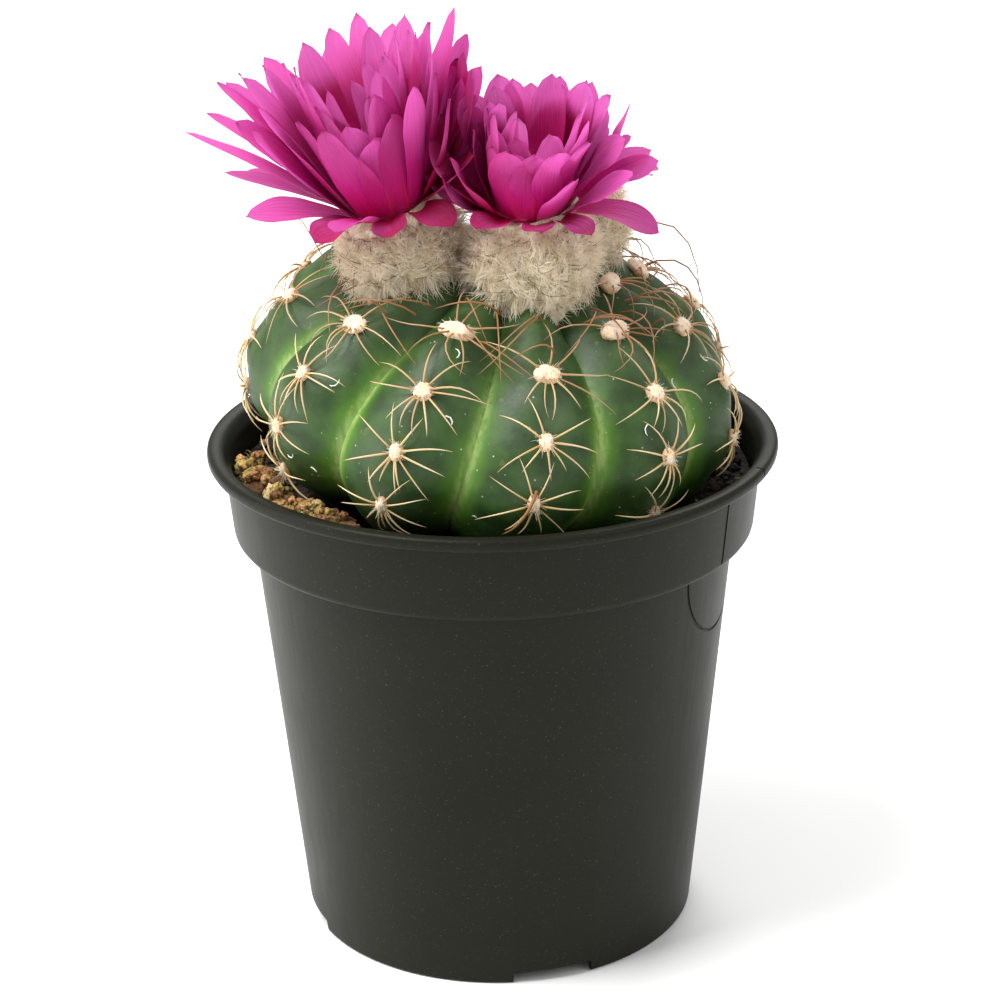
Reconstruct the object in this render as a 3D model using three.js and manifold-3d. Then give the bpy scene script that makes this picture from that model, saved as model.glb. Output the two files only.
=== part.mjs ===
// Potted round cactus: a ribbed globe cactus with three open flowers, rooted in soil in a
// round plastic nursery pot.
//
// Millimetres, +Z up. The origin is on the pot's axis, in the plane that the foot ring stands on.
// -Y is the front. An azimuth is counted in degrees from the front, positive towards +X.

import * as THREE from 'three';
import { mergeVertices } from 'three/addons/utils/BufferGeometryUtils.js';
import Module from 'manifold-3d';

const wasm = await Module();
wasm.setup();

// ---------------------------------------------------------------- driving dimensions

const GAP = 0.3; // clearance kept between two pieces that touch

const POT = {
  height: 94.5,
  wall: 1.2,
  segments: 40,
  lipRadius: 52.5,
  lipDrop: 2.7, // from the top of the lip to its underside
  lipBevel: 0.6,
  mouthRadius: 50.6,
  mouthBevel: 1.1,
  collarTopRadius: 49.5,
  collarBottomRadius: 48.1,
  stepHeight: 77.5, // where the collar steps in to the tapered wall
  wallTopRadius: 44.6,
  footRadius: 36.9,
  footWidth: 1.8,
  floorHeight: 3.2, // underside of the floor, above the surface that the pot stands on
  notch: { count: 4, azimuth: 15, width: 15, height: 2.4 }, // cut out of the foot ring
  drain: { radius: 4.5, distance: 27, sides: 8 }, // one hole inward of each notch
  pocket: { azimuth: 75, radius: 10, line: 0.35, low: 79, high: 90.5, steps: 8 }, // moulded lines
};

const SOIL = { level: 88, relief: 1.2, looseRadii: [43.6, 24] };

// Crumbs of bark and grit, heaped between two azimuths.
const HEAP = {
  from: -84,
  to: -27,
  level: 88.6,
  innerRadius: 41,
  outerRadius: 47.4,
  slabSteps: 10,
  crumbs: 10,
  crumbRadius: [2.3, 3.7],
  crumbRise: [2, 4.4],
};

const PLANT = {
  centre: [0, 0, 104.1],
  leanRight: 7.5, // degrees that the plant's axis leans towards +X
  leanFront: 7.1, // and towards -Y
  radius: 44.8, // over the rib crests
  halfHeight: 25.8,
  roundness: 2.08, // exponent of the superellipse that the side view follows
  ribs: 11,
  ribAzimuth: 8.8, // crest of the rib that faces the front, at the widest level
  ribTwist: 0.088, // degrees of azimuth that a crest turns for each degree of height angle
  furrowDepth: 4.2,
  furrowPower: 1.9,
  columnsPerRib: 6,
  rows: 13,
};

// The neck and its taproot, in the pot's heights.
const ROOT = { topRadius: 9, topHeight: 89, kneeRadius: 7.2, kneeHeight: 74, tipRadius: 3, tipHeight: 58 };

// The plain hole in the soil is this much wider than the plant, all round.
const HOLE = { clearance: 1.3, columns: 22, rows: 15 };

const AREOLE = {
  pitch: 22, // height angle between two areoles on a rib; neighbouring ribs are half a pitch apart
  lowest: -22,
  highest: 64,
  radius: 1.7,
  crownRadius: 2.4,
  bulge: 1.1,
  sunk: 1.2,
  sides: 6,
  bare: { fromHeap: 12, toHeap: 6, height: 12 }, // none grows so near to the crumbs, in degrees and height
};

const SPINE = { count: 5, length: 9, crownLength: 11, downward: 0.78, radius: 0.27, lift: 1.9 };

// Each flower grows near the crown. foot: azimuth and distance from the plant's axis.
// lean: the way the bloom faces, as degrees from the plant's axis and an azimuth.
const FLOWERS = [
  {
    name: 'flower_left',
    foot: { azimuth: -78, distance: 18.4 },
    lean: { angle: 23.5, azimuth: -90 },
    rise: 9,
    radius: 10.2,
    spin: 4,
    crowding: [{ azimuth: 70, turn: 26 }, { azimuth: -95, turn: 8 }],
    whorls: [
      { count: 11, length: 30.5, width: 7.4, open: 26, curl: 12, level: 3.4 },
      { count: 11, length: 31, width: 7.4, open: 38, curl: 12, level: 2.6 },
      { count: 8, length: 24, width: 7.2, open: 54, curl: 14, level: 1.8 },
      { count: 5, length: 14, width: 7.4, open: 70, curl: 14, level: 1.1 },
    ],
  },
  {
    name: 'flower_right',
    foot: { azimuth: 26, distance: 8.2 },
    lean: { angle: 10, azimuth: -88 },
    rise: 10.5,
    radius: 10.8,
    spin: 26,
    crowding: [{ azimuth: -80, turn: 26 }, { azimuth: 130, turn: 22 }, { azimuth: 40, turn: -6 }],
    whorls: [
      { count: 9, length: 20.5, width: 8.0, open: 24, curl: 12, level: 3.4 },
      { count: 8, length: 19.5, width: 8.0, open: 38, curl: 12, level: 2.6 },
      { count: 7, length: 18, width: 7.6, open: 62, curl: 14, level: 1.8 },
      { count: 5, length: 14.5, width: 7.2, open: 70, curl: 14, level: 1.1 },
    ],
  },
  {
    name: 'flower_back',
    foot: { azimuth: 137, distance: 17.2 },
    lean: { angle: 30, azimuth: -150 },
    rise: 8,
    radius: 9.2,
    spin: 20,
    crowding: [{ azimuth: -10, turn: 50 }, { azimuth: 90, turn: 12 }],
    whorls: [
      { count: 6, length: 15, width: 6.8, open: 14, curl: 12, level: 3.4 },
      { count: 6, length: 14, width: 6.6, open: 28, curl: 12, level: 2.6 },
      { count: 4, length: 11, width: 6.4, open: 50, curl: 14, level: 1.8 },
    ],
  },
];

const TUBE = { rows: 6, columns: 14, tuft: 0.6, sunk: 5 };

const CUP = { bottom: -2.7, footRadius: 6.2, rimRadius: 8.3, rimHeight: 4.2, wall: 1.4, sides: 12 };

// marks: where a petal bends, as shares of its length. rootWidth is a share of its full width.
const PETAL = { thickness: 0.7, rootDepth: 0.9, marks: [0, 0.42, 0.8, 1], rootWidth: 0.3, widest: 0.6 };

const STAMENS = { count: 6, ringRadius: 3.4, ringWidth: 2.7, ringHeight: 1.2, length: 7.5, anther: 0.8 };

const STYLE = { radius: 0.8, length: 9.5, lobes: 5, lobeLength: 2.8, lobeRise: 1.4 };

const COLOURS = {
  pot: { color: 0x33342c, roughness: 0.5, metalness: 0 },
  soil: { color: 0x1c1611, roughness: 1, metalness: 0 },
  crumbs: { color: 0x8a6236, roughness: 1, metalness: 0 },
  body: { color: 0x2e4a2a, roughness: 0.45, metalness: 0 },
  wool: { color: 0xb8a68c, roughness: 1, metalness: 0 },
  petals: { color: 0xd5319f, roughness: 0.5, metalness: 0 },
  stamens: { color: 0xe3c24a, roughness: 0.7, metalness: 0 },
  stigma: { color: 0x8c1f3c, roughness: 0.6, metalness: 0 },
};

// ---------------------------------------------------------------- small tools

const { degToRad: rad, radToDeg, lerp, clamp, mapLinear } = THREE.MathUtils;
const UP = new THREE.Vector3(0, 0, 1);

// The same number between 0 and 1 for the same seed, every time.
function noise(seed) {
  const value = Math.sin(seed * 12.9898 + 4.1414) * 43758.5453;
  return value - Math.floor(value);
}

const spread = (seed, amount) => (noise(seed) * 2 - 1) * amount;

// A horizontal direction at an azimuth counted from the front.
const heading = (azimuth) => new THREE.Vector3(Math.sin(rad(azimuth)), -Math.cos(rad(azimuth)), 0);

// A closed skin. Its triangles are turned over together if they enclose a negative volume.
function geometryOf(points, triangles) {
  const cross = new THREE.Vector3();
  const volume = triangles.reduce((sum, [a, b, c]) => (
    sum + points[a].dot(cross.crossVectors(points[b], points[c])) / 6
  ), 0);
  if (volume < 0) triangles.forEach((triangle) => triangle.reverse());
  const geometry = new THREE.BufferGeometry();
  const positions = points.flatMap((point) => point.toArray());
  geometry.setAttribute('position', new THREE.Float32BufferAttribute(positions, 3));
  geometry.setIndex(triangles.flat());
  return geometry;
}

// A closed skin over a stack of rings with equal counts, closed by a fan to a point at each end.
function ringSolid(rings, startPoint, endPoint) {
  const count = rings[0].length;
  const points = [...rings.flat(), startPoint, endPoint];
  const start = rings.length * count;
  const end = start + 1;
  const last = (rings.length - 1) * count;
  const triangles = [];
  for (let i = 0; i < count; i++) {
    const next = (i + 1) % count;
    triangles.push([start, next, i], [end, last + i, last + next]);
    for (let row = 0; row < last; row += count) {
      const [a, b, c, d] = [row + i, row + next, row + count + next, row + count + i];
      triangles.push([a, b, c], [a, c, d]);
    }
  }
  return geometryOf(points, triangles);
}

// A ring of points round a centre, in the plane across an axis. radiusAt gives each point's radius.
function looseRing(centre, axis, radiusAt, count) {
  const twist = new THREE.Quaternion().setFromUnitVectors(UP, axis);
  return Array.from({ length: count }, (_, i) => {
    const angle = (2 * Math.PI * i) / count;
    const point = new THREE.Vector3(Math.cos(angle), Math.sin(angle), 0).multiplyScalar(radiusAt(i));
    return point.applyQuaternion(twist).add(centre);
  });
}

const ringAcross = (centre, axis, radius, count) => looseRing(centre, axis, () => radius, count);

// A rod with a few sides through a few points, with one radius for each.
function rod(path, radii, sides) {
  const rings = path.map((point, i) => {
    const before = path[Math.max(i - 1, 0)];
    const after = path[Math.min(i + 1, path.length - 1)];
    return ringAcross(point, after.clone().sub(before).normalize(), radii[i], sides);
  });
  return ringSolid(rings, path[0], path[path.length - 1]);
}

// The same, drawn out to a sharp point at the last path point.
function needle(path, radii, sides) {
  const rings = path.slice(0, -1).map((point, i) => {
    const before = path[Math.max(i - 1, 0)];
    return ringAcross(point, path[i + 1].clone().sub(before).normalize(), radii[i], sides);
  });
  return ringSolid(rings, path[0], path[path.length - 1]);
}

// ---------------------------------------------------------------- joining and cutting

function solidOf(geometry) {
  const bare = geometry.clone();
  bare.deleteAttribute('normal');
  bare.deleteAttribute('uv');
  const merged = mergeVertices(bare, 1e-4);
  return new wasm.Manifold(new wasm.Mesh({
    numProp: 3,
    vertProperties: new Float32Array(merged.getAttribute('position').array),
    triVerts: new Uint32Array(merged.getIndex().array),
  }));
}

const fuse = (geometries) => wasm.Manifold.union(geometries.map(solidOf));

function geometryFrom(solid) {
  const mesh = solid.getMesh();
  const geometry = new THREE.BufferGeometry();
  geometry.setAttribute('position', new THREE.Float32BufferAttribute(mesh.vertProperties, 3));
  geometry.setIndex(new THREE.Uint32BufferAttribute(mesh.triVerts, 1));
  geometry.computeVertexNormals();
  return geometry;
}

function piece(name, geometry, finish) {
  const mesh = new THREE.Mesh(geometry, new THREE.MeshStandardMaterial(finish));
  mesh.name = name;
  return mesh;
}

// A turned solid: the profile's points are [radius, height] and run from the axis back to the axis.
function turned(profile, segments) {
  const points = profile.map(([radius, height]) => new THREE.Vector2(radius, height));
  const lathe = new THREE.LatheGeometry(points, segments);
  lathe.rotateX(Math.PI / 2);
  return lathe;
}

// ---------------------------------------------------------------- pot

// Inner radius of the pot's collar and wall at a height.
function potInside(height) {
  const shelf = POT.stepHeight + POT.wall;
  const lipFoot = POT.height - POT.lipDrop;
  if (height >= shelf) {
    const t = (height - shelf) / (lipFoot - shelf);
    return lerp(POT.collarBottomRadius, POT.collarTopRadius, t) - POT.wall;
  }
  return lerp(POT.footRadius, POT.wallTopRadius, height / POT.stepHeight) - POT.wall;
}

function potProfile() {
  const { height, wall, stepHeight, floorHeight, lipBevel, mouthBevel } = POT;
  const shelf = stepHeight + wall;
  const lipFoot = height - POT.lipDrop;
  const floorTop = floorHeight + wall;
  return [
    [0, floorHeight],
    [POT.footRadius - POT.footWidth, floorHeight],
    [POT.footRadius - POT.footWidth, 0],
    [POT.footRadius, 0],
    [POT.wallTopRadius, stepHeight],
    [POT.collarBottomRadius, stepHeight],
    [POT.collarTopRadius, lipFoot],
    [POT.lipRadius - lipBevel, lipFoot + lipBevel],
    [POT.lipRadius, lipFoot + 2 * lipBevel],
    [POT.lipRadius, height - lipBevel],
    [POT.lipRadius - lipBevel, height],
    [POT.mouthRadius, height],
    [POT.mouthRadius - mouthBevel, height - mouthBevel],
    [potInside(lipFoot), lipFoot],
    [potInside(shelf), shelf],
    [potInside(stepHeight), shelf - wall / 2],
    [potInside(floorTop), floorTop],
    [0, floorTop],
  ];
}

// A point on the pot's outside, given as a distance sideways from the label pocket's middle.
function pocketPoint(sideways, height) {
  const onCollar = height >= POT.stepHeight;
  const radius = onCollar
    ? mapLinear(height, POT.stepHeight, POT.height, POT.collarBottomRadius, POT.collarTopRadius)
    : mapLinear(height, 0, POT.stepHeight, POT.footRadius, POT.wallTopRadius);
  const turn = radToDeg(sideways / radius);
  return heading(POT.pocket.azimuth + turn).multiplyScalar(radius).setZ(height);
}

// Thin moulded lines: a half round under the collar and its two uprights on the collar.
function pocketLines() {
  const { radius, line, low, high, steps } = POT.pocket;
  const bow = Array.from({ length: steps + 1 }, (_, i) => {
    const angle = Math.PI * (i / steps);
    return pocketPoint(radius * Math.cos(angle), POT.stepHeight - line / 2 - radius * Math.sin(angle));
  });
  const upright = (side) => [low, high].map((height) => pocketPoint(side * radius, height));
  return [bow, upright(-1), upright(1)].map((path) => rod(path, path.map(() => line), 4));
}

function makePot() {
  const { notch, drain, floorHeight, footRadius, footWidth, wall } = POT;
  const cuts = [];
  for (let i = 0; i < notch.count; i++) {
    const azimuth = notch.azimuth + (360 / notch.count) * i;
    const slot = new THREE.BoxGeometry(notch.width, footWidth * 4, notch.height * 2);
    slot.rotateZ(rad(azimuth));
    slot.translate(...heading(azimuth).multiplyScalar(footRadius).toArray());
    const hole = new THREE.CylinderGeometry(drain.radius, drain.radius, wall * 4, drain.sides);
    hole.rotateX(Math.PI / 2);
    const middle = heading(azimuth).multiplyScalar(drain.distance).setZ(floorHeight + wall / 2);
    hole.translate(...middle.toArray());
    cuts.push(slot, hole);
  }
  const blank = solidOf(turned(potProfile(), POT.segments));
  return blank.subtract(fuse([...cuts, ...pocketLines()]));
}

// ---------------------------------------------------------------- plant body

const plantTurn = new THREE.Matrix4()
  .makeRotationX(rad(PLANT.leanFront))
  .multiply(new THREE.Matrix4().makeRotationY(rad(PLANT.leanRight)));
const plantPlace = new THREE.Matrix4().makeTranslation(...PLANT.centre).multiply(plantTurn);

const power = (value, exponent) => Math.sign(value) * Math.abs(value) ** exponent;

// Azimuth of a rib's crest at a height angle.
const crestAzimuth = (rib, angle) => PLANT.ribAzimuth + (360 / PLANT.ribs) * rib + PLANT.ribTwist * angle;

// A point in the plant's own frame, and the outward normal there. angle is the height angle:
// 0 at the widest level, 90 at the crown. furrows 0 gives the smooth hull over the crests.
function onBody(azimuth, angle, lift = 0, furrows = 1) {
  const exponent = 2 / PLANT.roundness;
  const across = PLANT.radius * power(Math.cos(rad(angle)), exponent);
  const height = PLANT.halfHeight * power(Math.sin(rad(angle)), exponent);
  const slope = new THREE.Vector2(
    power(across / PLANT.radius, PLANT.roundness - 1) / PLANT.radius,
    power(height / PLANT.halfHeight, PLANT.roundness - 1) / PLANT.halfHeight,
  ).normalize();
  const pitch = 360 / PLANT.ribs;
  const fromCrest = (azimuth - crestAzimuth(0, angle)) / pitch;
  const off = 2 * Math.abs(fromCrest - Math.round(fromCrest));
  const narrow = Math.min(1, across / (0.5 * PLANT.radius));
  const depth = PLANT.furrowDepth * furrows * narrow * off ** PLANT.furrowPower;
  const normal = heading(azimuth).multiplyScalar(slope.x).setZ(slope.y);
  const point = heading(azimuth).multiplyScalar(across).setZ(height);
  return { point: point.addScaledVector(normal, lift - depth), normal };
}

// The body's closed skin. Its columns follow the ribs' twist.
function bodySkin(columns, rows, lift, furrows) {
  const rings = [];
  for (let row = 1; row < rows; row++) {
    const angle = -90 + (180 * row) / rows;
    rings.push(Array.from({ length: columns }, (_, i) => {
      const azimuth = crestAzimuth(0, angle) + (360 * i) / columns;
      return onBody(azimuth, angle, lift, furrows).point;
    }));
  }
  const bottom = new THREE.Vector3(0, 0, -PLANT.halfHeight - lift);
  const top = new THREE.Vector3(0, 0, PLANT.halfHeight + lift);
  return ringSolid(rings, bottom, top);
}

// The root neck goes straight down from the body, so it is made upright and turned back.
function rootNeck(lift) {
  const back = plantPlace.clone().invert();
  const heights = [ROOT.topHeight, ROOT.kneeHeight, ROOT.tipHeight - lift];
  const radii = [ROOT.topRadius, ROOT.kneeRadius, ROOT.tipRadius].map((radius) => radius + lift);
  return rod(heights.map((height) => new THREE.Vector3(0, 0, height)), radii, 8).applyMatrix4(back);
}

// ---------------------------------------------------------------- flowers: placing

const flowerFrames = FLOWERS.map((flower) => {
  const { azimuth, distance } = flower.foot;
  const angle = radToDeg(Math.acos((distance / PLANT.radius) ** (PLANT.roundness / 2)));
  const { point, normal } = onBody(azimuth, angle, 0, 0);
  const axis = heading(flower.lean.azimuth).multiplyScalar(Math.sin(rad(flower.lean.angle)));
  axis.setZ(Math.cos(rad(flower.lean.angle)));
  const middle = point.clone().addScaledVector(normal, flower.rise * 0.5);
  const top = middle.clone().addScaledVector(axis, flower.rise * 0.5);
  const place = new THREE.Matrix4().compose(
    top,
    new THREE.Quaternion().setFromUnitVectors(UP, axis),
    new THREE.Vector3(1, 1, 1),
  );
  return { flower, point, normal, axis, middle, top, place };
});

// How far a point lies outside the nearest flower tube; negative inside it.
function clearOfTubes(point) {
  return Math.min(...flowerFrames.map((frame) => {
    const bottom = frame.point.clone().addScaledVector(frame.normal, -TUBE.sunk);
    const nearest = new THREE.Vector3();
    new THREE.Line3(bottom, frame.top).closestPointToPoint(point, true, nearest);
    return nearest.distanceTo(point) - frame.flower.radius;
  }));
}

// ---------------------------------------------------------------- areoles and spines

function azimuthWithin(point, from, to) {
  const azimuth = radToDeg(Math.atan2(point.x, -point.y));
  return azimuth > from && azimuth < to;
}

// Whether an areole would be under a tube, against the crumbs or in the soil.
function isHidden(point) {
  const { bare, radius, crownRadius } = AREOLE;
  const inPot = point.clone().applyMatrix4(plantPlace);
  const nearHeap = azimuthWithin(inPot, HEAP.from - bare.fromHeap, HEAP.to + bare.toHeap);
  const low = nearHeap ? HEAP.level + bare.height : SOIL.level + radius + 1.5;
  return clearOfTubes(point) < crownRadius + 0.6 || inPot.z < low;
}

// Every areole that shows: its rib, its place and whether it is near the crown.
function areoles() {
  const places = [];
  for (let rib = 0; rib < PLANT.ribs; rib++) {
    const odd = Math.abs(rib <= PLANT.ribs / 2 ? rib : rib - PLANT.ribs) % 2;
    for (let step = -2; step <= 3; step++) {
      const angle = AREOLE.pitch * (step + odd / 2);
      if (angle < AREOLE.lowest || angle > AREOLE.highest + 3) continue;
      const azimuth = crestAzimuth(rib, angle);
      const { point, normal } = onBody(azimuth, angle);
      if (isHidden(point)) continue;
      const crown = clamp((angle - 20) / 35, 0, 1);
      places.push({ seed: rib * 17 + step * 5 + 40, azimuth, angle, point, normal, crown });
    }
  }
  return places;
}

// A low woolly cushion, sunk into the rib's crest.
function cushion({ point, normal, crown }) {
  const radius = lerp(AREOLE.radius, AREOLE.crownRadius, crown);
  const at = (height) => point.clone().addScaledVector(normal, height);
  const rings = [-AREOLE.sunk, AREOLE.bulge * 0.45].map((height) => (
    ringAcross(at(height), normal, radius, AREOLE.sides)
  ));
  return ringSolid(rings, at(-AREOLE.sunk), at(AREOLE.bulge));
}

// A point over the ribs, reached from an areole by going some way in a direction.
function walk({ azimuth, angle }, direction, distance, lift) {
  const across = PLANT.radius * Math.cos(rad(angle));
  const steep = Math.hypot(PLANT.radius * Math.sin(rad(angle)), PLANT.halfHeight * Math.cos(rad(angle)));
  const turn = radToDeg((distance * Math.sin(direction)) / across);
  const climb = radToDeg((distance * Math.cos(direction)) / steep);
  return onBody(azimuth + turn, Math.min(angle + climb, 89), lift, 0.35).point;
}

function spinesOf(areole) {
  const spines = [];
  for (let i = 0; i < SPINE.count; i++) {
    const seed = areole.seed * 13 + i * 7;
    const direction = (2 * Math.PI * (i + 0.5)) / SPINE.count + spread(seed, 0.16);
    const full = lerp(SPINE.length, SPINE.crownLength, areole.crown);
    const downward = Math.cos(direction) < -0.7 ? SPINE.downward : 1;
    const length = full * downward * (1 + spread(seed + 1, 0.12));
    const lift = SPINE.lift + spread(seed + 2, 0.35);
    const path = [walk(areole, direction, 0.6, 0.4), walk(areole, direction, length, lift)];
    const inPot = path[1].clone().applyMatrix4(plantPlace);
    if (clearOfTubes(path[1]) > 1.5 && inPot.z > SOIL.level + 1.5) {
      spines.push(needle(path, [SPINE.radius], 3));
    }
  }
  return spines;
}

function makeBody() {
  const skin = bodySkin(PLANT.ribs * PLANT.columnsPerRib, PLANT.rows, 0, 1);
  const places = areoles();
  return fuse([skin, rootNeck(0), ...places.map(cushion), ...places.flatMap(spinesOf)]);
}

// ---------------------------------------------------------------- flower pieces

// The woolly tube bends from the body's normal to the bloom's axis. Its wool is a relief of tufts.
function makeTube(frame) {
  const { flower, point, normal, middle, top } = frame;
  const { rows, columns, tuft } = TUBE;
  const foot = point.clone().addScaledVector(normal, -TUBE.sunk);
  const bend = new THREE.QuadraticBezierCurve3(foot, middle, top);
  const rings = [];
  for (let row = 0; row <= rows; row++) {
    const t = row / rows;
    const full = flower.radius * (0.86 + 0.14 * Math.sin(Math.PI * Math.min(1, t * 1.1)));
    const woolly = (i) => full + (row === rows ? -tuft : spread(flower.spin + row * 57 + i * 31, tuft));
    rings.push(looseRing(bend.getPoint(t), bend.getTangent(t), woolly, columns));
  }
  const tube = solidOf(ringSolid(rings, foot, top));
  const socketRadius = CUP.footRadius + 2 * GAP;
  const socketHeight = 10;
  const socket = new THREE.CylinderGeometry(socketRadius, socketRadius, socketHeight, columns);
  socket.rotateX(Math.PI / 2).translate(0, 0, CUP.bottom - GAP + socketHeight / 2);
  const seat = bodySkin(PLANT.ribs * PLANT.columnsPerRib, PLANT.rows, GAP, 1);
  return tube.subtract(solidOf(socket.applyMatrix4(frame.place))).subtract(solidOf(seat));
}

// The cup at the mouth of the tube, which the petals grow from, in the bloom's own frame.
function cup() {
  const { bottom, footRadius, rimRadius, rimHeight, wall, sides } = CUP;
  return turned([
    [0, bottom],
    [footRadius, bottom],
    [footRadius + 0.1, 0.6],
    [rimRadius, rimHeight],
    [rimRadius - wall, rimHeight],
    [footRadius - wall, bottom + wall],
    [0, bottom + wall],
  ], sides);
}

// A thin leaf of even thickness over a grid of stations, ending in a point. Both faces are split
// into triangles the same way.
function blade(stations, tip, tipNormal, thickness) {
  const half = thickness / 2;
  const across = stations[0].row.length;
  const points = [];
  for (const side of [half, -half]) {
    for (const { row, normal } of stations) {
      row.forEach((p) => points.push(p.clone().addScaledVector(normal, side)));
    }
    points.push(tip.clone().addScaledVector(tipNormal, side));
  }
  const under = points.length / 2;
  const last = (stations.length - 1) * across;
  const tipIndex = stations.length * across;
  const triangles = [];
  const face = (a, b, c) => triangles.push([a, b, c], [under + a, under + c, under + b]);
  for (let k = 0; k < last; k += across) {
    for (let j = k; j < k + across - 1; j++) {
      face(j, j + 1, j + 1 + across);
      face(j, j + 1 + across, j + across);
    }
  }
  for (let j = last; j < last + across - 1; j++) face(j, j + 1, tipIndex);
  const border = [];
  for (let k = 0; k < tipIndex; k += across) border.push(k + across - 1);
  border.push(tipIndex);
  for (let k = last; k >= 0; k -= across) border.push(k);
  border.forEach((a, i) => {
    const b = border[(i + 1) % border.length];
    triangles.push([a, under + a, under + b], [a, under + b, b]);
  });
  return geometryOf(points, triangles);
}

// Half the width of a petal along its length, as a share of the full half width.
function petalOutline(t) {
  const { rootWidth, widest } = PETAL;
  if (t <= widest) return rootWidth + (1 - rootWidth) * Math.sin((Math.PI / 2) * (t / widest));
  return Math.cos((Math.PI / 2) * ((t - widest) / (1 - widest))) ** 0.8;
}

// One petal of a whorl, in the bloom's own frame. It starts inside the cup's wall.
function petal(flower, whorl, whorlIndex, i) {
  const seed = flower.spin * 31 + whorlIndex * 101 + i * 11;
  const spacing = 360 / whorl.count;
  const azimuth = flower.spin + whorlIndex * spacing * 0.5 + i * spacing + spread(seed, spacing * 0.12);
  const crowded = flower.crowding.reduce((sum, { azimuth: from, turn }) => {
    const facing = Math.cos(rad(azimuth - from));
    return sum + (facing > 0 ? turn * facing ** 1.5 : 0);
  }, 0);
  const shingle = i % 2 ? 3 : -3; // every second petal stands outside its neighbours
  const open = Math.max(4, whorl.open - crowded * (whorl.open / 45)) + shingle + spread(seed + 1, 1.2);
  const length = whorl.length * (1 + spread(seed + 2, 0.07));
  const outward = heading(azimuth);
  const sideways = new THREE.Vector3().crossVectors(UP, outward);
  const cupRadius = mapLinear(whorl.level, 0.6, CUP.rimHeight, CUP.footRadius, CUP.rimRadius);
  const centre = outward.clone().multiplyScalar(cupRadius - PETAL.rootDepth).setZ(whorl.level);
  const stations = [];
  let before = 0;
  let normal;
  for (const t of PETAL.marks) {
    const lean = rad(open + (whorl.curl * (t + before)) / 2);
    centre.addScaledVector(outward, Math.sin(lean) * length * (t - before));
    centre.addScaledVector(UP, Math.cos(lean) * length * (t - before));
    normal = outward.clone().multiplyScalar(-Math.cos(lean)).addScaledVector(UP, Math.sin(lean));
    before = t;
    const half = (whorl.width / 2) * petalOutline(t);
    const row = [-half, half].map((side) => centre.clone().addScaledVector(sideways, side));
    stations.push({ row, normal });
  }
  stations.pop();
  return blade(stations, centre, normal, PETAL.thickness);
}

function makePetals({ flower, place }) {
  const petals = flower.whorls.flatMap((whorl, whorlIndex) => (
    Array.from({ length: whorl.count }, (_, i) => petal(flower, whorl, whorlIndex, i))
  ));
  return fuse([cup(), ...petals].map((geometry) => geometry.applyMatrix4(place)));
}

// A ring in the cup's floor with upright filaments, each with an anther at its tip.
function makeStamens({ place }) {
  const { ringRadius, ringWidth, ringHeight } = STAMENS;
  const low = CUP.bottom + CUP.wall + GAP;
  const high = low + ringHeight;
  const inner = ringRadius - 0.7 * ringWidth;
  const outer = inner + ringWidth;
  const parts = [turned([[inner, low], [outer, low], [outer, high], [inner, high], [inner, low]], 10)];
  for (let i = 0; i < STAMENS.count; i++) {
    const out = heading((360 / STAMENS.count) * i + spread(i, 6));
    const root = out.clone().multiplyScalar(ringRadius - 0.3).setZ(low + ringHeight / 2);
    const lean = rad(8 + 10 * noise(i + 50));
    const length = STAMENS.length * (0.85 + 0.3 * noise(i + 90));
    const reach = out.clone().multiplyScalar(Math.sin(lean)).addScaledVector(UP, Math.cos(lean));
    const tip = root.clone().addScaledVector(reach, length);
    const neck = root.clone().lerp(tip, 0.8);
    parts.push(rod([root, neck, tip], [0.35, 0.3, STAMENS.anther], 3));
  }
  return fuse(parts.map((geometry) => geometry.applyMatrix4(place)));
}

// The style stands in the middle of the stamens and ends in a star of short lobes.
function makeStigma({ place }) {
  const low = CUP.bottom + CUP.wall + GAP;
  const head = new THREE.Vector3(0, 0, low + STYLE.length);
  const parts = [rod([new THREE.Vector3(0, 0, low), head], [STYLE.radius, STYLE.radius * 1.2], 6)];
  for (let i = 0; i < STYLE.lobes; i++) {
    const out = heading((360 / STYLE.lobes) * i);
    const root = head.clone().addScaledVector(UP, -0.5).addScaledVector(out, 0.3);
    const tip = head.clone().addScaledVector(out, STYLE.lobeLength).addScaledVector(UP, STYLE.lobeRise);
    parts.push(rod([root, tip], [0.5, 0.35], 3));
  }
  return fuse(parts.map((geometry) => geometry.applyMatrix4(place)));
}

// ---------------------------------------------------------------- soil and crumbs

// A slightly bigger copy of the body, without its furrows.
const bowl = () => bodySkin(HOLE.columns, HOLE.rows, HOLE.clearance, 0).applyMatrix4(plantPlace);

// What the soil leaves open for the plant.
function plantHole() {
  const neck = rootNeck(GAP * 1.5).applyMatrix4(plantPlace);
  return fuse([bowl(), neck]);
}

function makeSoil() {
  const side = 2 * GAP;
  const floorTop = POT.floorHeight + POT.wall + GAP;
  const shelf = POT.stepHeight + POT.wall + GAP;
  const profile = [
    [potInside(floorTop) - side, floorTop],
    [potInside(POT.stepHeight) - side, shelf - POT.wall / 2],
    [potInside(shelf) - side, shelf],
    [potInside(SOIL.level) - side, SOIL.level - GAP],
  ];
  const packedRows = profile.length;
  profile.push(...SOIL.looseRadii.map((radius) => [radius, SOIL.level]));
  const rings = profile.map(([radius, height], row) => {
    const loose = row >= packedRows;
    return Array.from({ length: POT.segments }, (_, i) => {
      const azimuth = (360 * i) / POT.segments;
      const dip = loose ? SOIL.relief * noise(row * 71 + i * 3) : 0;
      return heading(azimuth).multiplyScalar(radius).setZ(height - dip);
    });
  });
  const block = ringSolid(rings, new THREE.Vector3(0, 0, floorTop), new THREE.Vector3(0, 0, SOIL.level));
  return solidOf(block).subtract(plantHole());
}

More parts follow.
